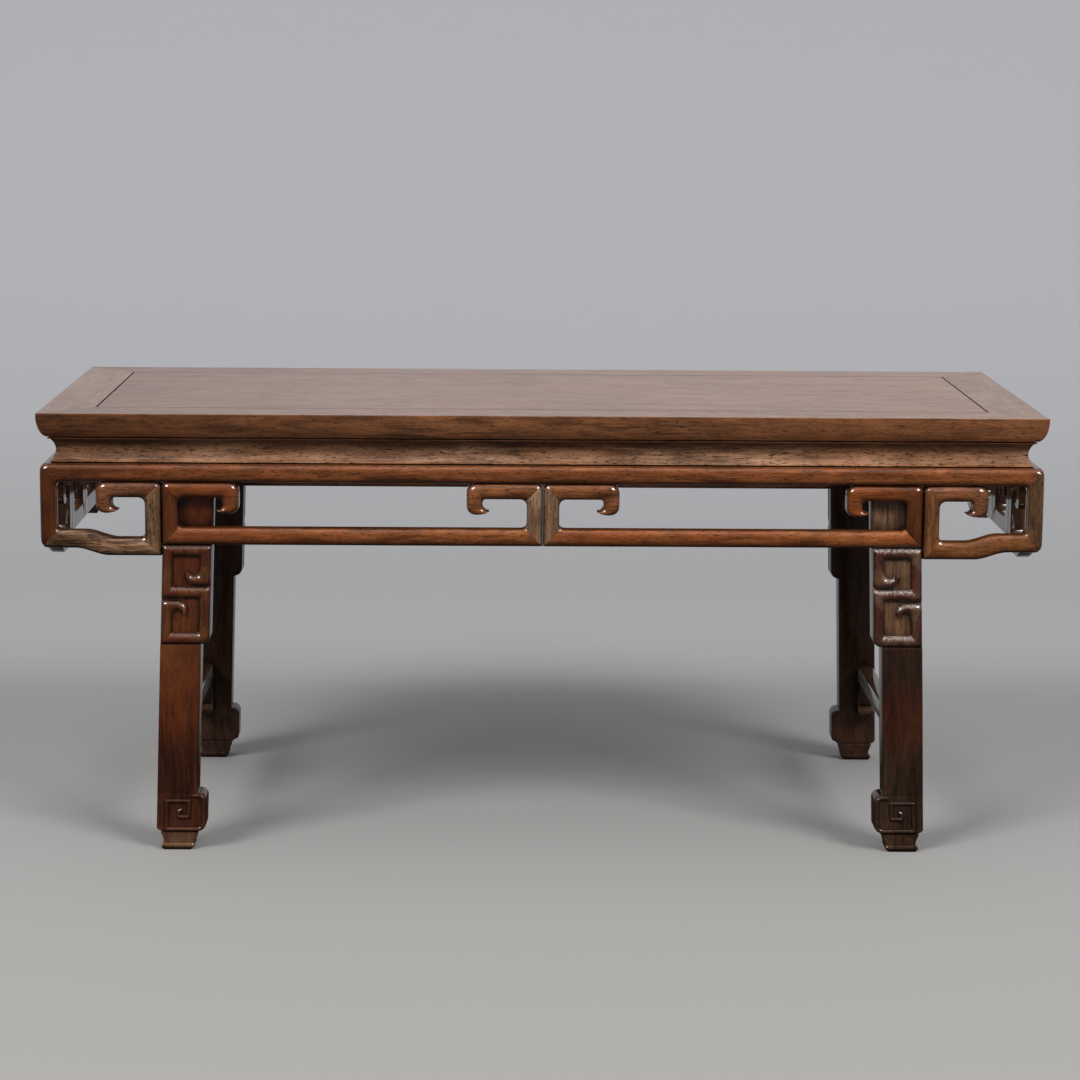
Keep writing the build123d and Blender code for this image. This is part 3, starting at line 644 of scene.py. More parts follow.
def make_member(name, stations, width=STRAND, depth=MEMBER_DEPTH):
    """Apron member with pillowed front arrises, in the frame's own plane at Y = 0."""
    piece = make_strand(name, stations, depth, width, PILLOW_OUTER, PILLOW_INNER)
    soften_ends(piece)
    close_piece(piece)
    return piece


# ================================================================ apron
def post_corners(root, side, low, rail):
    """Both turns of a post whose outer side faces side (-1 left, 1 right), in clockwise travel."""
    inner = root - side * POST
    top = ((root, Z_STRAND), (inner, Z_STRAND - STRAND), POST_TURN, OPENING_ROUND)
    foot = ((root, low), (inner, low + rail), BACK_ROUND, OPENING_ROUND - BACK_ROUND)
    if side > 0:
        return turn(*top, UP, RIGHT), turn(*foot, RIGHT, DOWN)
    return turn(*top, LEFT, UP), turn(*foot, DOWN, LEFT)


def hook_shoulder(outer, side):
    """Turn from the hook's shank into its strand."""
    corner = ((outer, Z_STRAND), (outer - side * SHANK, Z_STRAND - STRAND), HOOK_TURN, HOOK_OPENING)
    if side < 0:
        first, second = turn(*corner, LEFT, UP)
    else:
        first, second = turn(*corner, UP, RIGHT)
    return first + second[1:]


def wave(corner, dip, low):
    """Stations of the wavy rail, from its post towards the corner. It comes down over the dip."""
    stations = []
    for step in range(WAVE_STEPS + 1):
        share = step / WAVE_STEPS
        rise = (Z_CORNER - low) * share * share * (3 - 2 * share)
        along = dip[1] + WAVE_LEAD - share * (dip[1] - dip[0] + 2 * WAVE_LEAD)
        stations.append((Vector((corner + along, low + rise)),
                         Vector((corner + along + WAVE_TRAIL, low + WAVY_RAIL + rise))))
    return stations


def frame_corner(corner, outer_z, inner_z, before, after):
    """Turn where the corner post meets a rail."""
    return turn((corner, outer_z), (corner + CORNER_POST, inner_z), CORNER_ROUND, CORNER_OPENING,
                before, after)


def end_members(corner, root, reach, dip, low):
    """Hook, post and wavy rail of an end section, left of its post."""
    top, foot = post_corners(root, 1, low, WAVY_RAIL)
    lower_corner = frame_corner(corner, Z_CORNER, Z_CORNER + WAVY_RAIL, DOWN, LEFT)
    hook_outer = root - reach
    return {
        "hook": hook_end(hook_outer, -1) + hook_shoulder(hook_outer, -1) + top[0],
        "post": top[1] + foot[0],
        "wavy_rail": foot[1] + wave(corner, dip, low) + lower_corner[0],
    }


def middle_members(left, right, left_reach, right_reach, low):
    """Two hooks, two posts and the long rail of half a middle section."""
    right_top, right_foot = post_corners(right, 1, low, LOW_RAIL)
    left_top, left_foot = post_corners(left, -1, low, LOW_RAIL)
    left_outer = left + left_reach
    right_outer = right - right_reach
    return {
        "right_hook": hook_end(right_outer, -1) + hook_shoulder(right_outer, -1) + right_top[0],
        "right_post": right_top[1] + right_foot[0],
        "long_rail": right_foot[1] + left_foot[0],
        "left_post": left_foot[1] + left_top[0],
        "left_hook": left_top[1] + hook_shoulder(left_outer, 1) + hook_end(left_outer, 1)[::-1],
    }


def mitre_at_corner(piece, corner):
    """Cut a member of the front apron along the upright plane through the corner of the table."""
    pick_only(piece)
    bpy.ops.object.mode_set(mode="EDIT")
    keep_side(piece, (corner, 0, 0), (1, -1, 0))
    close_piece(piece)


def make_corner_post():
    """Left front corner post: half of it made, then mirrored over the corner's diagonal."""
    low = frame_corner(-APRON_X, Z_CORNER, Z_CORNER + WAVY_RAIL, DOWN, LEFT)
    top = frame_corner(-APRON_X, Z_APRON, Z_STRAND, LEFT, UP)
    piece = make_strand("corner_post", low[1] + top[0], CORNER_POST, CORNER_POST,
                        CORNER_PILLOW, PILLOW_INNER, BACK_ROUND / 2)
    soften_ends(piece)
    keep_side(piece, (-APRON_X, 0, 0), (1, -1, 0), fill=False)
    pick_all()
    bpy.ops.mesh.duplicate()
    pivot = (-APRON_X, 0, 0)
    turn_picked(pi / 2, "Z", pivot)
    bpy.ops.transform.resize(value=(1, -1, 1), center_override=pivot)
    pick_all()
    bpy.ops.mesh.remove_doubles(threshold=WELD)
    close_piece(piece)
    move_piece(piece, Matrix.Translation((0, -APRON_Y, 0)))
    return piece


def make_top_rail(name, half):
    """Top rail of the apron over its whole length, mitred to the corner posts."""
    left = frame_corner(-half, Z_APRON, Z_STRAND, LEFT, UP)
    right = [(Vector((-outer.x, outer.y)), Vector((-inner.x, inner.y))) for outer, inner in left[1][::-1]]
    piece = make_strand(name, left[1] + right, MEMBER_DEPTH, STRAND, *RAIL_PILLOWS)
    soften_ends(piece)
    keep_side(piece, (-half, 0, 0), (1, -1, 0))
    keep_side(piece, (half, 0, 0), (-1, -1, 0))
    close_piece(piece)
    return piece


# ================================================================ the woods
# factors on the legs' colour by height, partly their own tones, as the pale worn pads, and partly painted
# light and shade: (height by HEIGHT_SCALE, factor on red, green and blue)
RED_LEG_SHADES = [(0.0, (1.9, 3.1, 5.0)), (0.042, (1.5, 2.3, 3.6)), (0.052, (0.66, 0.66, 0.74)),
                  (0.22, (0.44, 0.40, 0.40)), (0.30, (0.90, 0.66, 0.48)), (0.44, (1.15, 1.02, 0.75)),
                  (0.475, (1.15, 1.10, 1.00)), (0.70, (1.10, 0.86, 0.78))]
TAN_LEG_SHADES = [(0.0, (0.8, 0.9, 1.2)), (0.042, (0.9, 1.0, 1.2)), (0.052, (0.52, 0.58, 0.70)),
                  (0.22, (0.42, 0.44, 0.50)), (0.31, (0.85, 0.40, 0.30)), (0.40, (0.36, 0.36, 0.38)),
                  (0.470, (0.45, 0.45, 0.45)), (0.485, (2.6, 3.1, 3.3)), (0.70, (2.6, 3.3, 3.8))]
# painted shade of the table top on the back legs, darker higher up; the paler foot is its own wear
BACK_LEG_PAINTED_SHADES = [(0.0, (1.5, 1.6, 1.6)), (0.12, (1.0, 1.1, 1.1)), (0.25, (0.6, 0.6, 0.6)),
                   (0.70, (0.5, 0.5, 0.5))]

# tones: the dark and the light of a wood
# tones of the top, partly the wood's own and partly painted sheen: paler than the wood, for the reflection
# that the top shows
TOP_WOOD_AND_SHEEN_TONES = ((0.232, 0.126, 0.079), (0.376, 0.214, 0.138))
TOP_RAIL_TONES = ((0.078, 0.029, 0.0105), (0.275, 0.105, 0.0390))
TOP_STILE_TONES = ((0.076, 0.028, 0.0095), (0.245, 0.093, 0.0320))
WAIST_TONES = ((0.070, 0.034, 0.0180), (0.320, 0.172, 0.0980))
WAIST_END_TONES = ((0.070, 0.034, 0.0180), (0.300, 0.160, 0.0900))
APRON_TONES = ((0.068, 0.020, 0.0050), (0.260, 0.082, 0.0260))
DEEP_RED_TONES = ((0.026, 0.0042, 0.0006), (0.086, 0.0165, 0.0022))
TAN_TONES = ((0.060, 0.032, 0.0130), (0.210, 0.120, 0.0560))
PALE_OLIVE_TONES = ((0.055, 0.027, 0.0125), (0.560, 0.350, 0.2150))
ORANGE_TONES = ((0.080, 0.026, 0.0080), (0.310, 0.122, 0.0390))
SIDE_WAVE_TONES = ((0.060, 0.023, 0.0084), (0.220, 0.088, 0.0330))
OLIVE_TONES = ((0.045, 0.020, 0.0085), (0.265, 0.140, 0.0700))
END_POST_TONES = ((0.060, 0.022, 0.0070), (0.225, 0.082, 0.0260))
END_HOOK_TONES = ((0.055, 0.018, 0.0070), (0.250, 0.105, 0.0500))
LEG_POST_TONES = ((0.032, 0.0070, 0.0013), (0.100, 0.0250, 0.0050))
LEG_HOOK_TONES = ((0.060, 0.014, 0.0030), (0.230, 0.064, 0.0150))
LONG_RAIL_TONES = ((0.068, 0.018, 0.0042), (0.265, 0.086, 0.0240))
CENTRE_POST_TONES = ((0.085, 0.047, 0.0270), (0.310, 0.190, 0.1150))
CENTRE_HOOK_TONES = ((0.065, 0.020, 0.0060), (0.290, 0.104, 0.0370))
SIDE_POST_TONES = ((0.040, 0.014, 0.0050), (0.170, 0.064, 0.0230))
SIDE_HOOK_TONES = ((0.045, 0.015, 0.0050), (0.180, 0.064, 0.0230))
SIDE_RAIL_TONES = ((0.060, 0.020, 0.0070), (0.220, 0.082, 0.0300))
RED_LEG_TONES = ((0.040, 0.010, 0.0035), (0.125, 0.036, 0.0125))
TAN_LEG_TONES = ((0.026, 0.010, 0.0045), (0.105, 0.046, 0.0220))
# back legs darkened by painted shade, except their outer faces at the back, which take OUTER_TONES
SHADED_BACK_LEG_TONES = ((0.022, 0.010, 0.0060), (0.072, 0.031, 0.0180))
RED_CARVING_TONES = ((0.030, 0.0066, 0.0017), (0.122, 0.0290, 0.0080))
WORN_CARVING_TONES = ((0.026, 0.0078, 0.0042), (0.090, 0.0280, 0.0160))
# painted shade: the back carving is darkened as the back legs are
SHADED_BACK_CARVING_TONES = ((0.016, 0.007, 0.0040), (0.060, 0.028, 0.0160))
OUTER_TONES = ((0.060, 0.021, 0.0080), (0.190, 0.074, 0.0300))
STRETCHER_TONES = ((0.024, 0.011, 0.0060), (0.075, 0.034, 0.0180))
# painted reflection: pale grey tones on the stretchers' inner faces, for the floor and backdrop that they
# reflect
PAINTED_REFLECTION_TONES = ((0.120, 0.108, 0.098), (0.420, 0.385, 0.355))
UNDERSIDE_TONES = ((0.040, 0.020, 0.0100), (0.110, 0.057, 0.0270))
PEG_TONES = ((0.060, 0.023, 0.0084), (0.150, 0.064, 0.0250))

# warm clouds (colour, amount, size) and painted sheen on the upper slopes (colour, amount)
NO_FLUSH = (FLUSH[0], 0.0, FLUSH[2])
END_HOOK_FLUSH = ((0.170, 0.050, 0.020), 0.6, 16)
LONG_RAIL_FLUSH = ((0.200, 0.050, 0.012), 0.5, 12)
RED_LEG_FLUSH = ((0.160, 0.060, 0.018), 0.25, 9)
RED_CARVING_FLUSH = ((0.140, 0.062, 0.020), 0.38, 26)
WORN_CARVING_FLUSH = ((0.150, 0.088, 0.048), 0.6, 30)
RED_CARVING_SHEEN = ((0.230, 0.150, 0.120), 0.6)
WORN_CARVING_SHEEN = ((0.560, 0.460, 0.410), 1.0)

# the top faces of the panel and frame take the top's tones, which carry painted sheen; the edges also get a
# little painted light and shade by facing
TOP_POLISH_AND_SHEEN = {"rough": 0.32, "coat": 0.5, "coat_rough": 0.22, "ior": 1.3, "faces": ("Z", 1, TOP_WOOD_AND_SHEEN_TONES)}
EDGE_POLISH_AND_PAINTED_LIGHT = {**TOP_POLISH_AND_SHEEN, "stained": 0.3, "facing_light": (0.83, 0.09)}

finishes = {
    "top_panel": wood("top_panel_wood", "X", TOP_WOOD_AND_SHEEN_TONES, 2.3, stained=0.15, pores=0.5, flush=NO_FLUSH,
                      cracks=0.7, **TOP_POLISH_AND_SHEEN),
    "top_rail": wood("top_rail_wood", "X", TOP_RAIL_TONES, 4.9, cracks=0.6, **EDGE_POLISH_AND_PAINTED_LIGHT),
    "top_stile": wood("top_stile_wood", "Y", TOP_STILE_TONES, 7.4, **EDGE_POLISH_AND_PAINTED_LIGHT),
    "waist_long": wood("waist_wood", "X", WAIST_TONES, 1.7, pores=0.95, coat=0.5),
    "waist_short": wood("waist_end_wood", "Y", WAIST_END_TONES, 8.2, pores=0.95, coat=0.5),
    "apron_long": wood("apron_rail_wood", "X", APRON_TONES, 3.6, crest="Y"),
    "apron_short": wood("apron_end_rail_wood", "Y", APRON_TONES, 6.5, crest="X"),
    "corner_post_left": wood("corner_post_red", "Z", DEEP_RED_TONES, 5.2, pores=0.4, coat=0.6),
    "corner_post_right": wood("corner_post_tan", "Z", TAN_TONES, 9.1, stained=0.8),
    "wavy_rail_left": wood("wavy_rail_olive", "X", PALE_OLIVE_TONES, 2.9, stained=0.9, pores=0.95,
                           crest="Y"),
    "wavy_rail_right": wood("wavy_rail_orange", "X", ORANGE_TONES, 5.8, crest="Y"),
    "side_wavy_rail": wood("side_wavy_rail_wood", "Y", SIDE_WAVE_TONES, 7.7, crest="X"),
    "end_post_left": wood("end_post_olive", "Z", OLIVE_TONES, 4.1, stained=0.8, pores=0.9, crest="Y"),
    "end_post_right": wood("end_post_orange", "Z", END_POST_TONES, 3.3, stained=0.6, crest="Y"),
    "end_hook": wood("end_hook_wood", "X", END_HOOK_TONES, 8.8, stained=0.9, crest="Y",
                     flush=END_HOOK_FLUSH),
    "leg_post": wood("leg_post_wood", "Z", LEG_POST_TONES, 1.3, pores=0.4, crest="Y"),
    "leg_hook": wood("leg_hook_wood", "X", LEG_HOOK_TONES, 6.2, pores=0.4, crest="Y"),
    "long_rail": wood("long_rail_wood", "X", LONG_RAIL_TONES, 9.6, crest="Y", flush=LONG_RAIL_FLUSH),
    "centre_post": wood("centre_post_wood", "Z", CENTRE_POST_TONES, 6.3, stained=0.6, crest="Y"),
    "centre_hook": wood("centre_hook_wood", "X", CENTRE_HOOK_TONES, 2.1, stained=0.7, crest="Y"),
    "side_post": wood("side_post_wood", "Z", SIDE_POST_TONES, 5.5, crest="X"),
    "side_hook": wood("side_hook_wood", "Y", SIDE_HOOK_TONES, 7.1, stained=0.7, crest="X"),
    "side_long_rail": wood("side_long_rail_wood", "Y", SIDE_RAIL_TONES, 4.4, crest="X"),
    "leg_front_left": wood("leg_red_wood", "Z", RED_LEG_TONES, 6.8, pores=0.3, coat=0.65,
                           heights=RED_LEG_SHADES, flush=RED_LEG_FLUSH),
    "leg_front_right": wood("leg_tan_wood", "Z", TAN_LEG_TONES, 3.9, stained=0.6, pores=0.4, coat=0.65,
                            heights=TAN_LEG_SHADES, flush=NO_FLUSH),
    # back legs: painted shade on the faces towards the front and the sides
    "leg_back": wood("leg_dark_wood", "Z", SHADED_BACK_LEG_TONES, 1.9, stained=0.7, pores=0.4, coat=0.5,
                     heights=BACK_LEG_PAINTED_SHADES, flush=NO_FLUSH, faces=("Y", 1, OUTER_TONES)),
    "carving_front_left": wood("carving_red_wood", "Z", RED_CARVING_TONES, 6.8, pores=0.5, crest="Y",
                               rolled=0.15, flush=RED_CARVING_FLUSH, painted_sheen=RED_CARVING_SHEEN),
    "carving_front_right": wood("carving_worn_wood", "Z", WORN_CARVING_TONES, 3.9, stained=0.4, pores=0.8,
                                crest="Y", rolled=0.12, flush=WORN_CARVING_FLUSH, painted_sheen=WORN_CARVING_SHEEN),
    "carving_back": wood("carving_dark_wood", "Z", SHADED_BACK_CARVING_TONES, 1.9, pores=0.4, crest="Y",
                         flush=NO_FLUSH, faces=("Y", 1, OUTER_TONES)),
    # the stretchers' inner faces carry a painted reflection
    "stretcher_left": wood("stretcher_left_wood", "Y", STRETCHER_TONES, 8.5, flush=NO_FLUSH,
                           faces=("X", 1, PAINTED_REFLECTION_TONES)),
    "stretcher_right": wood("stretcher_right_wood", "Y", STRETCHER_TONES, 8.5, flush=NO_FLUSH,
                            faces=("X", -1, PAINTED_REFLECTION_TONES)),
    "bracket": wood("bracket_wood", "Z", STRETCHER_TONES, 2.7, flush=NO_FLUSH),
    "underside": wood("underside_wood", "X", UNDERSIDE_TONES, 9.9, rough=0.5, coat=0.05),
    "peg": wood("peg_wood", "Z", PEG_TONES, 1.1, coat=0.1),
}


def settle(piece, finish, slot, *nodes):
    """Give a finished piece its wood, or one wood for each of its slots, its body and its nodes."""
    kinds = finish if isinstance(finish, tuple) else (finish,)
    while len(piece.data.materials) < len(kinds):
        piece.data.materials.append(None)
    for index, kind in enumerate(kinds):
        piece.data.materials[index] = finishes[kind]
    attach(piece, "root")
    if nodes:
        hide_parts(*nodes)


def finish_at(finish, corner):
    """Name of a finish at one corner: its own there, on that face or at that end, where it has one."""
    face, end = corner.split("_")
    names = (finish, f"{finish}_{end}", f"{finish}_{corner}", f"{finish}_{face}")
    return next(name for name in names if name in finishes)


def place_at_corners(piece, name, finish, slot, node):
    """Copy a piece to all four corners. node gives the CAD node's name from the corner's name."""
    kinds = finish if isinstance(finish, tuple) else (finish,)
    for corner, matrix in CORNERS.items():
        twin = piece if corner == "front_left" else copy_piece(piece, f"{name}_{corner}", matrix)
        twin.name = f"{name}_{corner}"
        face, end = corner.split("_")
        settle(twin, tuple(finish_at(kind, corner) for kind in kinds), slot,
               node.format(corner=corner, face=face, end=end))


FRONT = Matrix.Translation((0, -APRON_Y, 0))
TO_SIDE = MIRROR_X @ Matrix.Rotation(pi / 2, 4, "Z") @ Matrix.Translation((0, -APRON_X, 0))

# part of a section, name of the piece, finish, and the CAD nodes that it stands in for
END_PARTS = (("hook", "end_hook", "end_hook", "{face}_end_hooks"),
             ("post", "end_post", "end_post", "{face}_end_posts"),
             ("wavy_rail", "wavy_rail", "wavy_rail", "wavy_rail_{corner}"))
MIDDLE_PARTS = (("left_hook", "leg_hook", "leg_hook", "{face}_leg_hooks"),
                ("left_post", "leg_post", "leg_post", "{face}_leg_posts"),
                ("long_rail", "long_rail", "long_rail", "long_rail_{corner}"),
                ("right_post", "centre_post", "centre_post", "{face}_centre_posts"),
                ("right_hook", "centre_hook", "centre_hook", "{face}_centre_hooks"))
SIDE_END_PARTS = (("hook", "side_hook", "side_hook", "side_hooks_{end}"),
                  ("post", "side_post", "side_post", "side_posts_{end}"),
                  ("wavy_rail", "side_wavy_rail", "side_wavy_rail", "side_wavy_rail_{corner}"))
SIDE_MIDDLE_PARTS = (("left_hook", "side_inner_hook", "side_hook", "side_hooks_{end}"),
                     ("left_post", "side_inner_post", "side_post", "side_posts_{end}"),
                     ("long_rail", "side_long_rail", "side_long_rail", "side_long_rails_{end}"),
                     ("right_post", "side_centre_post", "side_post", "side_posts_{end}"),
                     ("right_hook", "side_centre_hook", "side_hook", "side_hooks_{end}"))

# how far each hook reaches from its post
END_REACH = 0.0582
LEG_REACH = 0.069
CENTRE_REACH = 0.0682
SIDE_END_REACH = 0.0533
SIDE_REACH = 0.0405
# where the wavy rails come down, from the corner
END_DIP = (0.036, 0.056)
SIDE_DIP = (0.022, 0.048)


def make_section(members, parts, matrix, corner):
    """Make the members of a section of the apron, carry them to their face and copy them to all corners."""
    for part, name, finish, node in parts:
        piece = make_member(part, members[part])
        if part == "wavy_rail":
            mitre_at_corner(piece, corner)
        move_piece(piece, matrix)
        place_at_corners(piece, name, finish, "apron_wood", node)


def make_top_rails():
    for face, opposite, half, matrix, mirror, finish in (
            ("front", "back", APRON_X, FRONT, MIRROR_Y, "apron_long"),
            ("left", "right", APRON_Y, TO_SIDE, MIRROR_X, "apron_short")):
        rail = make_top_rail(f"apron_rail_{face}", half)
        move_piece(rail, matrix)
        settle(rail, finish, "apron_wood", f"apron_rail_{face}")
        twin = copy_piece(rail, f"apron_rail_{opposite}", mirror)
        settle(twin, finish, "apron_wood", f"apron_rail_{opposite}")


def make_apron():
    members = end_members(-APRON_X, -SEAM_X - SEAM, END_REACH, END_DIP, Z_WAVY)
    make_section(members, END_PARTS, FRONT, -APRON_X)
    members = middle_members(-SEAM_X + SEAM, -SEAM, LEG_REACH, CENTRE_REACH, Z_LOW)
    make_section(members, MIDDLE_PARTS, FRONT, -APRON_X)
    members = end_members(-APRON_Y, -SEAM_Y - SEAM, SIDE_END_REACH, SIDE_DIP, Z_SIDE_WAVY)
    make_section(members, SIDE_END_PARTS, TO_SIDE, -APRON_Y)
    members = middle_members(-SEAM_Y + SEAM, -SEAM, SIDE_REACH, SIDE_REACH, Z_SIDE_LOW)
    make_section(members, SIDE_MIDDLE_PARTS, TO_SIDE, -APRON_Y)
    place_at_corners(make_corner_post(), "corner_post", "corner_post", "apron_wood", "corner_post_{corner}")
    make_top_rails()


# ================================================================ legs
# Sections of the leg are (height, left, right, front, back). The sides are measured from its own outer
# front edge, which leans and is raked.
GROUND_DEPTH = 0.0045       # the sunk ground of the carved panel, behind the panel's face
SHAFT_DEPTH = 0.0020
FOOT_DEPTH = 0.0036
SHAFT_LEVEL = 0.120
FOOT_LEVEL = 0.0530
FOOT_ROLLS = (((0.0384, 0.0465), 0, 90, 7), ((0.0384, 0.0240), 90, 125, 3))
TOE_SECTIONS = [
    (0.0198, 0.0007, 0.0410, 0.0033, LEG_DEPTH), (0.0188, 0.0016, 0.0400, 0.0035, LEG_DEPTH),
    (0.0181, 0.0030, 0.0388, 0.0040, 0.0298), (0.0178, 0.0042, 0.0378, 0.0048, 0.0294),
    (0.0173, 0.0046, 0.0372, 0.0052, 0.0292), (0.0166, 0.0036, 0.0377, 0.0044, 0.0296),
    (0.0140, 0.0046, 0.0373, 0.0048, 0.0292), (0.0095, 0.0064, 0.0355, 0.0054, 0.0286),
    (0.0062, 0.0068, 0.0345, 0.0056, 0.0282), (0.0054, 0.0054, 0.0344, 0.0046, 0.0282),
    (0.0040, 0.0046, 0.0347, 0.0042, 0.0284), (0.0026, 0.0047, 0.0342, 0.0044, 0.0282),
    (0.0, 0.0066, 0.0318, 0.0062, 0.0272)]
LEG_ROUNDS = ((-1, -1, 0.0016), (1, -1, 0.0034), (-1, 1, 0.0012), (1, 1, 0.0020))
ROUND_STEPS = 4
SHOULDER = 0.0001           # rise or inset that keeps a sharp shoulder between two sections
TENON = (0.0002, PANEL_WIDTH, 0.0152, LEG_DEPTH)    # just clear of the apron in front of it
PANEL_RISES = (PANEL_ROUND, 0.0048, 0.0030, 0.0016, 0.0007, SHOULDER)
STRAIGHT = 0.9999           # runs whose directions agree better than this meet without a corner
CARVING_BACK = 0.0002


def leg_edge(z):
    """Outer edge of the left front leg at a height."""
    return -LEG_EDGE - (Z_WAVY - z) * LEG_LEAN


def roll_levels(centre, start, end, steps):
    """Levels round the rolled edge of the foot: (height, distance from the leg's outer edge)."""
    levels = []
    for step in range(steps + 1):
        angle = radians(start + (end - start) * step / steps)
        levels.append((centre[1] + FOOT_ROUND * cos(angle), centre[0] + FOOT_ROUND * sin(angle)))
    return levels


def leg_sections():
    """Sections of the leg from the top down: tenon, carved panel, shaft, rolled foot and toe."""
    foot = Z_LOW - PANEL_HEIGHT
    side = PANEL_WIDTH - SHOULDER
    sections = [(Z_FRAME, *TENON), (Z_LOW + SHOULDER, *TENON),
                (Z_LOW, SHOULDER, side, GROUND_DEPTH, LEG_DEPTH)]
    for rise in PANEL_RISES:
        right = side - PANEL_ROUND + sqrt(PANEL_ROUND ** 2 - (PANEL_ROUND - rise) ** 2)
        sections.append((foot + rise, SHOULDER, right, GROUND_DEPTH, LEG_DEPTH))
    sections += [(foot, 0.0, LEG_WIDTH, SHAFT_DEPTH, LEG_DEPTH),
                 (SHAFT_LEVEL, 0.0, LEG_WIDTH, SHAFT_DEPTH, LEG_DEPTH),
                 (FOOT_LEVEL, 0.0, LEG_WIDTH, FOOT_DEPTH - SHOULDER, LEG_DEPTH)]
    for roll in FOOT_ROLLS:
        sections += [(z, 0.0, right, FOOT_DEPTH, LEG_DEPTH) for z, right in roll_levels(*roll)]
    return sections + TOE_SECTIONS


def make_leg_block():
    """Leg without its carving, lofted section by section."""
    piece = start_piece("leg")
    width = LEG_WIDTH
    depth = LEG_DEPTH - SHAFT_DEPTH
    bpy.ops.transform.resize(value=(width, depth, 1))
    for side_x, side_y, size in LEG_ROUNDS:
        round_section_corner(piece, width, depth, side_x, side_y, size, size, ROUND_STEPS)
    pick_all()
    middle = Vector((0, 0, 0))
    for index, (z, left, right, front, back) in enumerate(leg_sections()):
        if index:
            extrude()
        new_width = right - left
        new_depth = back - front
        bpy.ops.transform.resize(value=(new_width / width, new_depth / depth, 1), center_override=middle)
        rake = max(0.0, Z_LOW - z) * tan(LEG_RAKE)
        target = Vector((leg_edge(z) + (left + right) / 2, -APRON_Y - rake + (front + back) / 2, z))
        bpy.ops.transform.translate(value=target - middle)
        width, depth, middle = new_width, new_depth, target
    close_piece(piece, angle=28)
    return piece


def ribbon(points, rounds, width):
    """Stations of a strand of even width along a line with corners. A round is (outer, inner)."""
    points = [Vector(point) for point in points]
    half = width / 2
    stations = []
    for index, point in enumerate(points):
        before = (point - points[index - 1]).normalized() if index else (points[1] - point).normalized()
        after = (points[index + 1] - point).normalized() if index < len(points) - 1 else before
        first_normal = Vector((-before.y, before.x))
        second_normal = Vector((-after.y, after.x))
        if first_normal.dot(second_normal) > STRAIGHT:
            stations.append((point + first_normal * half, point - first_normal * half))
            continue
        side = 1 if before.x * after.y - before.y * after.x < 0 else -1
        spread = (first_normal + second_normal) / (1 + first_normal.dot(second_normal)) * half * side
        outer_round, inner_round = rounds[index]
        first, second = turn(point + spread, point - spread, outer_round, inner_round,
                             first_normal * side, second_normal * side)
        pairs = first + second[1:]
        stations += pairs if side > 0 else [(far, near) for near, far in pairs]
    return stations


# inner and outer edge of a curl of the panel's scroll, from its tip, in millimetres from the panel's middle
CURL = (((2.7, 19.6), (-0.3, 19.4)), ((3.2, 18.9), (-1.4, 18.1)), ((3.7, 17.8), (-1.8, 15.6)),
        ((4.5, 16.7), (-1.2, 12.6)), ((5.6, 16.0), (1.0, 9.4)), ((6.9, 15.7), (5.4, 7.4)),
        ((8.2, 15.9), (11.0, 6.9)), ((9.5, 16.6), (17.5, 6.9)), ((10.3, 17.8), (20.6, 7.3)),
        ((11.0, 19.6), (22.0, 9.2)), ((11.5, 22.0), (22.15, 13.0)), ((11.75, 26.0), (22.15, 24.0)))
CURL_RAISED = Vector((0, 0.0015))
CURL_LOWERED = Vector((0, 0.0018))
SCROLL_COLUMN = 0.01695     # middle line of the scroll's uprights
SCROLL_TOP = 0.0398
SCROLL_MIDDLE = 0.0020
SCROLL_LINE = ((SCROLL_COLUMN, 0.030), (SCROLL_COLUMN, SCROLL_TOP), (-SCROLL_COLUMN, SCROLL_TOP),
               (-SCROLL_COLUMN, SCROLL_MIDDLE), (SCROLL_COLUMN, SCROLL_MIDDLE), (SCROLL_COLUMN, -SCROLL_TOP),
               (-SCROLL_COLUMN, -SCROLL_TOP), (-SCROLL_COLUMN, -0.028))
SCROLL_TURN = (0.0020, 0.0016)
SCROLL_TURNS = (None, *[SCROLL_TURN] * 4, (PANEL_ROUND, 0.0016), SCROLL_TURN, None)
SCROLL_PILLOW = (0.0049, 0.0046)

# bead on the foot, from the front roll to its curl, in metres from the leg's outer edge and the floor
BEAD_LINE = ((0.0316, 0.0504), (0.0420, 0.0506), (0.0426, 0.0198), (0.0088, 0.0198), (0.0090, 0.0456),
             (0.0288, 0.0456), (0.0290, 0.0310), (0.0195, 0.0310), (0.0197, 0.0362), (0.0226, 0.0374))
WIDE_TURN = (0.0063, 0.0040)
TIGHT_TURN = (0.0018, 0.0004)
BEAD_TURNS = (None, WIDE_TURN, WIDE_TURN, *[TIGHT_TURN] * 4, (0.0024, 0.0006), TIGHT_TURN, None)
BEAD_PILLOW = (0.0016, 0.0015)
BEAD_FACE = 0.0017          # front of the bead, behind the panel's face


def panel_scroll():
    """Stations of the carved scroll, from its upper curl to its lower one, about the panel's middle."""
    curl = [(Vector(inner) / 1000, Vector(outer) / 1000) for inner, outer in CURL]
    body = ribbon(SCROLL_LINE, SCROLL_TURNS, SCROLL_WIDTH)
    upper = [(inner + CURL_RAISED, outer + CURL_RAISED) for inner, outer in curl]
    lower = [(CURL_LOWERED - outer, CURL_LOWERED - inner) for inner, outer in curl[::-1]]
    return upper + body[1:-1] + lower


def make_carving(name, stations, width, depth, rounds, face):
    """Raised strand on the front of the left front leg, leaning and raked as the leg is."""
    piece = make_strand(name, stations, depth, width, rounds, rounds, CARVING_BACK)
    close_piece(piece)
    pivot = Matrix.Translation((0, -APRON_Y, Z_LOW))
    tilt = pivot @ Matrix.Rotation(-LEG_RAKE, 4, "X") @ pivot.inverted()
    move_piece(piece, tilt @ Matrix.Translation((0, face - APRON_Y, 0)))
    return piece


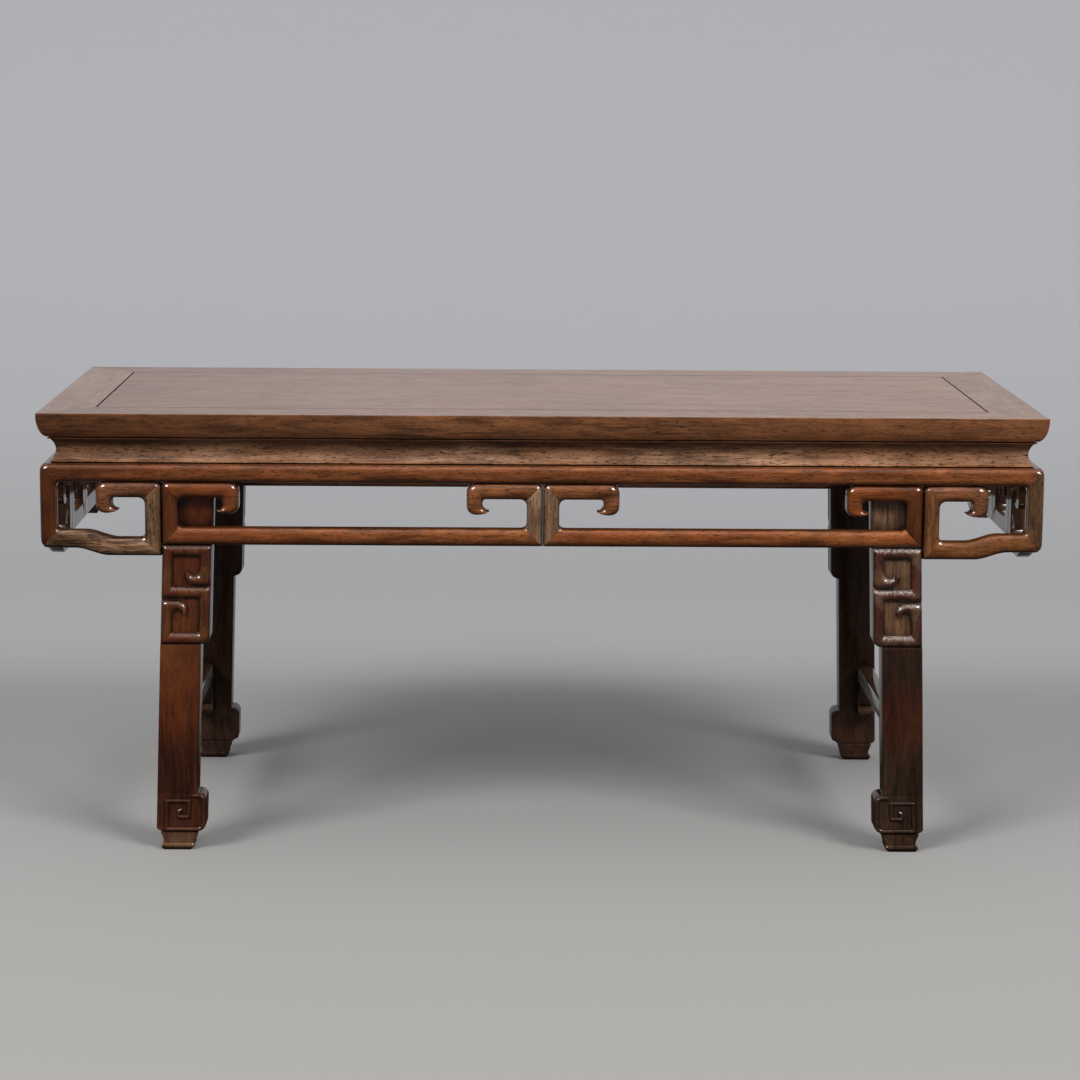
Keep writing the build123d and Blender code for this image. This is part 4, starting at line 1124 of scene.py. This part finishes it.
def on_leg(stations, height):
    """Shift stations from the leg's own edge, and from a height, to the table's frame."""
    return [tuple(Vector((leg_edge(point.y + height) + point.x, point.y + height)) for point in station)
            for station in stations]


def make_leg():
    """Left front leg with its carving, in two woods."""
    block = make_leg_block()
    middle = Vector((PANEL_WIDTH / 2, 0))
    scroll = [(near + middle, far + middle) for near, far in panel_scroll()]
    scroll = on_leg(scroll, Z_LOW - PANEL_HEIGHT / 2)
    carving = make_carving("panel_scroll", scroll, SCROLL_WIDTH, SCROLL_DEPTH, SCROLL_PILLOW, 0.0)
    bead = on_leg(ribbon(BEAD_LINE, BEAD_TURNS, BEAD_WIDTH), 0.0)
    foot_bead = make_carving("foot_bead", bead, BEAD_WIDTH, BEAD_DEPTH, BEAD_PILLOW, BEAD_FACE)
    for piece, finish in ((block, "leg_back"), (foot_bead, "leg_back"), (carving, "carving_back")):
        piece.data.materials.append(finishes[finish])
    return join_pieces([block, foot_bead, carving], "leg")


# ================================================================ stretchers
STRETCHER_X = leg_edge(STRETCHER_TOP - STRETCHER_HEIGHT / 2) + STRETCHER_SETBACK
STRETCHER_STEPS = 4
SEAT = STRETCHER_TOP - STRETCHER_HEIGHT
BRACKET_LEG = -0.158        # middle line of the bracket's upright
BRACKET_TOP = SEAT - 0.0038
BRACKET_FOOT = SEAT - 0.0298
BRACKET_LINE = ((-0.1345, BRACKET_TOP), (BRACKET_LEG, BRACKET_TOP), (BRACKET_LEG, BRACKET_FOOT),
                (-0.152, BRACKET_FOOT))
BRACKET_TURNS = (None, (0.0005, 0.005), (0.004, 0.002), None)
BRACKET_PILLOW = (0.003, 0.003)
BRACKET_BACK = 0.002
# inner and outer edge of the bracket's hook, in millimetres from the table's middle and the stretcher
BRACKET_HOOK = (((-149.5, -24.4), (-150.0, -33.9)), ((-147.2, -22.4), (-147.4, -33.9)),
                ((-144.9, -22.8), (-144.6, -33.0)), ((-143.2, -24.8), (-143.0, -31.0)),
                ((-142.6, -26.8), (-142.5, -29.0)))


def make_stretcher():
    """Left stretcher: a bar with softened edges from leg to leg."""
    piece = start_piece("stretcher")
    bpy.ops.transform.resize(value=(STRETCHER_WIDTH, STRETCHER_HEIGHT, 1))
    for side_x in (-1, 1):
        for side_y in (-1, 1):
            round_section_corner(piece, STRETCHER_WIDTH, STRETCHER_HEIGHT, side_x, side_y,
                                 STRETCHER_ROUND, STRETCHER_ROUND, ROUND_STEPS)
    pick_all()
    turn_picked(pi / 2, "X", (0, 0, 0))
    middle = STRETCHER_TOP - STRETCHER_HEIGHT / 2
    bpy.ops.transform.translate(value=(STRETCHER_X, -STRETCHER_LENGTH / 2, middle))
    for _ in range(STRETCHER_STEPS):
        extrude((0, STRETCHER_LENGTH / STRETCHER_STEPS, 0))
    close_piece(piece)
    return piece


def make_bracket():
    """Hooked bracket under the stretcher, against the left front leg; made along X, then turned."""
    above = Vector((0, SEAT))
    stations = ribbon(BRACKET_LINE, BRACKET_TURNS, BRACKET_STRAND)
    stations += [(Vector(near) / 1000 + above, Vector(far) / 1000 + above) for near, far in BRACKET_HOOK]
    piece = make_strand("stretcher_bracket", stations, BRACKET_THICK, BRACKET_STRAND,
                        BRACKET_PILLOW, BRACKET_PILLOW, BRACKET_BACK)
    close_piece(piece)
    place = Matrix.Translation((STRETCHER_X + BRACKET_THICK / 2, 0, 0))
    move_piece(piece, place @ Matrix.Rotation(pi / 2, 4, "Z"))
    return piece


# ================================================================ top
OVOLO_REACH = 0.0098
OVOLO_TOP = 0.3965
OVOLO_DROP = 0.0204
OVOLO_STEPS = 12
# from the table's side, and height: the worn upper arris, and the quirk and bead under the ovolo
ARRIS = [(0.0008, 0.3980), (0.0002, 0.3977), (0.0, 0.3971)]
QUIRK_AND_BEAD = [(0.0112, 0.3761), (0.0112, 0.3757), (0.0094, 0.3755), (0.0089, 0.3750), (0.0091, 0.3744),
                  (0.0099, 0.3741), (0.0110, Z_FRAME)]
PANEL_GROOVE = ((0.38885, 0.0403), (0.39365, 0.0403))
LINE_FLOOR = 0.3950         # bottom of the open line between the frame and the panel
RAIL_LINE = 0.0007          # width of that line along the rails
STILE_LINE = 0.0009
WAIST_FACE = 0.0113
WAIST_HOLLOW = 0.0046
WAIST_BACK = 0.0220
WAIST_DROP = 0.0203
WAIST_QUIRK = [(0.0112, 0.3531), (0.0118, Z_APRON)]
WAIST_STEPS = 14
WAIST_TOP = Z_FRAME - 0.0002
WAIST_FULLNESS = 0.8        # below 1 the hollow is fuller towards its ends
WAIST_BATTER = 0.0005       # how much further out the face is at its foot
FRAME_MITRE = 0.0001        # half the fine line where two members of the frame meet
WAIST_MITRE = 0.00005


def frame_outline(line):
    """Section of the top frame, with the open line by the panel."""
    points = list(ARRIS)
    for step in range(OVOLO_STEPS + 1):
        angle = radians(180 + 90 * step / OVOLO_STEPS)
        points.append((OVOLO_REACH + OVOLO_REACH * cos(angle), OVOLO_TOP + OVOLO_DROP * sin(angle)))
    points += QUIRK_AND_BEAD + [(FRAME_WIDTH, Z_FRAME)]
    (groove_low, groove), (groove_high, _) = PANEL_GROOVE
    points += [(FRAME_WIDTH, groove_low), (groove, groove_low), (groove, groove_high),
               (FRAME_WIDTH, groove_high), (FRAME_WIDTH, LINE_FLOOR)]
    return points + [(FRAME_WIDTH - line, LINE_FLOOR), (FRAME_WIDTH - line, HEIGHT)]


def waist_outline():
    """Section of the waist: a hollow face with a quirk at its foot."""
    points = []
    for step in range(WAIST_STEPS + 1):
        share = step / WAIST_STEPS
        hollow = WAIST_HOLLOW * sin(pi * share) ** WAIST_FULLNESS
        points.append((WAIST_FACE + hollow - WAIST_BATTER * share, WAIST_TOP - WAIST_DROP * share))
    return points + WAIST_QUIRK + [(WAIST_BACK, Z_APRON), (WAIST_BACK, WAIST_TOP)]


def make_ring_member(name, outline, length, end_cut):
    """Moulded member along Y, its outer side at X = 0, mitred at both ends."""
    piece = start_piece(name)
    draw_outline(piece, outline)
    pick_all()
    bpy.ops.transform.translate(value=(0, -length / 2, 0))
    extrude((0, length, 0))
    keep_side(piece, (0, -length / 2 + end_cut, 0), (-1, 1, 0))
    keep_side(piece, (0, length / 2 - end_cut, 0), (-1, -1, 0))
    close_piece(piece, angle=25)
    return piece


def make_moulded_ring(outlines, end_cut, finishes_used, slot, long_name, short_name):
    """Front, back, left and right members of one mitred ring."""
    to_front = Matrix.Translation((0, -DEPTH / 2, 0)) @ Matrix.Rotation(pi / 2, 4, "Z")
    to_left = Matrix.Translation((-WIDTH / 2, 0, 0))
    for outline, length, names, ends, matrix, mirror, finish in (
            (outlines[0], WIDTH, long_name, ("front", "back"), to_front, MIRROR_Y, finishes_used[0]),
            (outlines[1], DEPTH, short_name, ("left", "right"), to_left, MIRROR_X, finishes_used[1])):
        name, other = (names.format(end) for end in ends)
        piece = make_ring_member(name + "_wood", outline, length, end_cut)
        move_piece(piece, matrix)
        settle(piece, finish, slot, name)
        twin = copy_piece(piece, other + "_wood", mirror)
        settle(twin, finish, slot, other)


# ================================================================ studio
SWEEP_WIDTH = 20
SWEEP_FRONT = -12.0
SWEEP_BACK = 3.2            # where the floor starts to turn up
SWEEP_ROUND = 2.6
SWEEP_STEPS = 24
BACKDROP_HEIGHT = 7
LAMP_PLACE = (5.6, -6.4, 6.56)
LAMP_AIM = (0, 0, 0.3)
LAMP_SIZE = 3.6
LAMP_POWER = 600
AIR_BLUE = 1.04
# light of the world by direction, from straight down to straight up
AIR_STOPS = [(place, (level, level, level * AIR_BLUE))
             for place, level in ((0.0, 0.03), (0.35, 0.09), (0.75, 0.54), (1.0, 0.76))]
AIR_SEEN = (0.46, 0.47, 0.49)
CAMERA_PLACE = (-0.0442, -2.8296, 0.7296)
CAMERA_PITCH = radians(9.374)
CAMERA_YAW = radians(0.901)
CAMERA_ROLL = radians(0.444)
CAMERA_LENS = 100           # millimetres, as is the sensor
CAMERA_SENSOR = 36
CAMERA_SHIFT = -0.0072


def studio_sweep():
    """Seamless paper: a floor that turns up into a backdrop well behind the table."""
    sweep = start_piece("studio_sweep")
    bpy.ops.transform.resize(value=(SWEEP_WIDTH, SWEEP_BACK - SWEEP_FRONT, 1))
    bpy.ops.transform.translate(value=(0, (SWEEP_BACK + SWEEP_FRONT) / 2, 0))
    pick(sweep, "EDGE", lambda edge: all(vertex.co.y > SWEEP_BACK - 0.1 for vertex in edge.verts))
    length = 2 * SWEEP_ROUND * sin(pi / 4 / SWEEP_STEPS)
    for step in range(SWEEP_STEPS):
        angle = pi / 2 * (step + 0.5) / SWEEP_STEPS
        move = Vector((0, cos(angle), sin(angle))) * length
        extrude(move)
    extrude((0, 0, BACKDROP_HEIGHT))
    bpy.ops.object.mode_set(mode="OBJECT")
    bpy.ops.object.shade_smooth()
    sweep.data.materials.append(sweep_finish())


def softbox(name, side):
    """Square lamp high in front of the table; side is -1 on the left, 1 on the right."""
    place = Vector((side * LAMP_PLACE[0], *LAMP_PLACE[1:]))
    bpy.ops.object.light_add(type="AREA", location=place)
    lamp = bpy.context.object
    lamp.name = name
    lamp.data.shape = "SQUARE"
    lamp.data.size = LAMP_SIZE
    lamp.data.energy = LAMP_POWER
    lamp.rotation_euler = (Vector(LAMP_AIM) - place).to_track_quat("-Z", "Y").to_euler()


def world_light():
    """Soft light from above, dimmer towards the level of the floor."""
    world = bpy.data.worlds.new("studio_air")
    bpy.context.scene.world = world
    air = Finish(world, "Background")
    height = component(air, air.node("ShaderNodeTexCoord", output="Generated"), "Z")
    light = air.node("ShaderNodeValToRGB", {"stops": AIR_STOPS}, {"Fac": height})
    seen = air.node("ShaderNodeLightPath", output="Is Camera Ray")
    air.set(Color=blend(air, seen, light, AIR_SEEN))


def studio_camera():
    bpy.ops.object.camera_add()
    camera = bpy.context.object
    camera.name = "studio_camera"
    camera.data.lens = CAMERA_LENS
    camera.data.sensor_width = CAMERA_SENSOR
    camera.data.shift_y = CAMERA_SHIFT
    turning = Matrix.Rotation(-CAMERA_YAW, 4, "Z") @ Matrix.Rotation(pi / 2 - CAMERA_PITCH, 4, "X")
    camera.matrix_world = Matrix.Translation(CAMERA_PLACE) @ turning @ Matrix.Rotation(CAMERA_ROLL, 4, "Z")
    bpy.context.scene.camera = camera


# start of a CAD node's name, and its wood
NODE_WOODS = (("top_panel", "top_panel"), ("top", "top_rail"), ("batten", "underside"), ("leg_pegs", "peg"),
              ("scroll_pegs", "peg"), ("waist", "waist_long"), ("leg_", "leg_back"),
              ("stretcher_left", "stretcher_left"), ("stretcher_right", "stretcher_right"),
              ("stretcher_brackets", "bracket"), ("", "long_rail"))
for name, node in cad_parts.items():
    node.data.materials.clear()
    node.data.materials.append(finishes[next(kind for start, kind in NODE_WOODS if name.startswith(start))])

make_apron()
place_at_corners(make_leg(), "leg", ("leg", "carving"), "leg_wood", "leg_{corner}")
stretcher = make_stretcher()
settle(stretcher, "stretcher_left", "stretcher_wood", "stretcher_left")
right_stretcher = copy_piece(stretcher, "stretcher_right", MIRROR_X)
settle(right_stretcher, "stretcher_right", "stretcher_wood", "stretcher_right")
place_at_corners(make_bracket(), "bracket", "bracket", "stretcher_wood", "stretcher_brackets_{end}")
make_moulded_ring((frame_outline(RAIL_LINE), frame_outline(STILE_LINE)), FRAME_MITRE,
                  ("top_rail", "top_stile"), "frame_wood", "top_rail_{}", "top_stile_{}")
make_moulded_ring((waist_outline(), waist_outline()), WAIST_MITRE,
                  ("waist_long", "waist_short"), "waist_wood", "waist_{}", "waist_{}")

studio_sweep()
softbox("left_softbox", -1)
softbox("right_softbox", 1)
world_light()
studio_camera()
bpy.context.scene.view_settings.view_transform = "Standard"
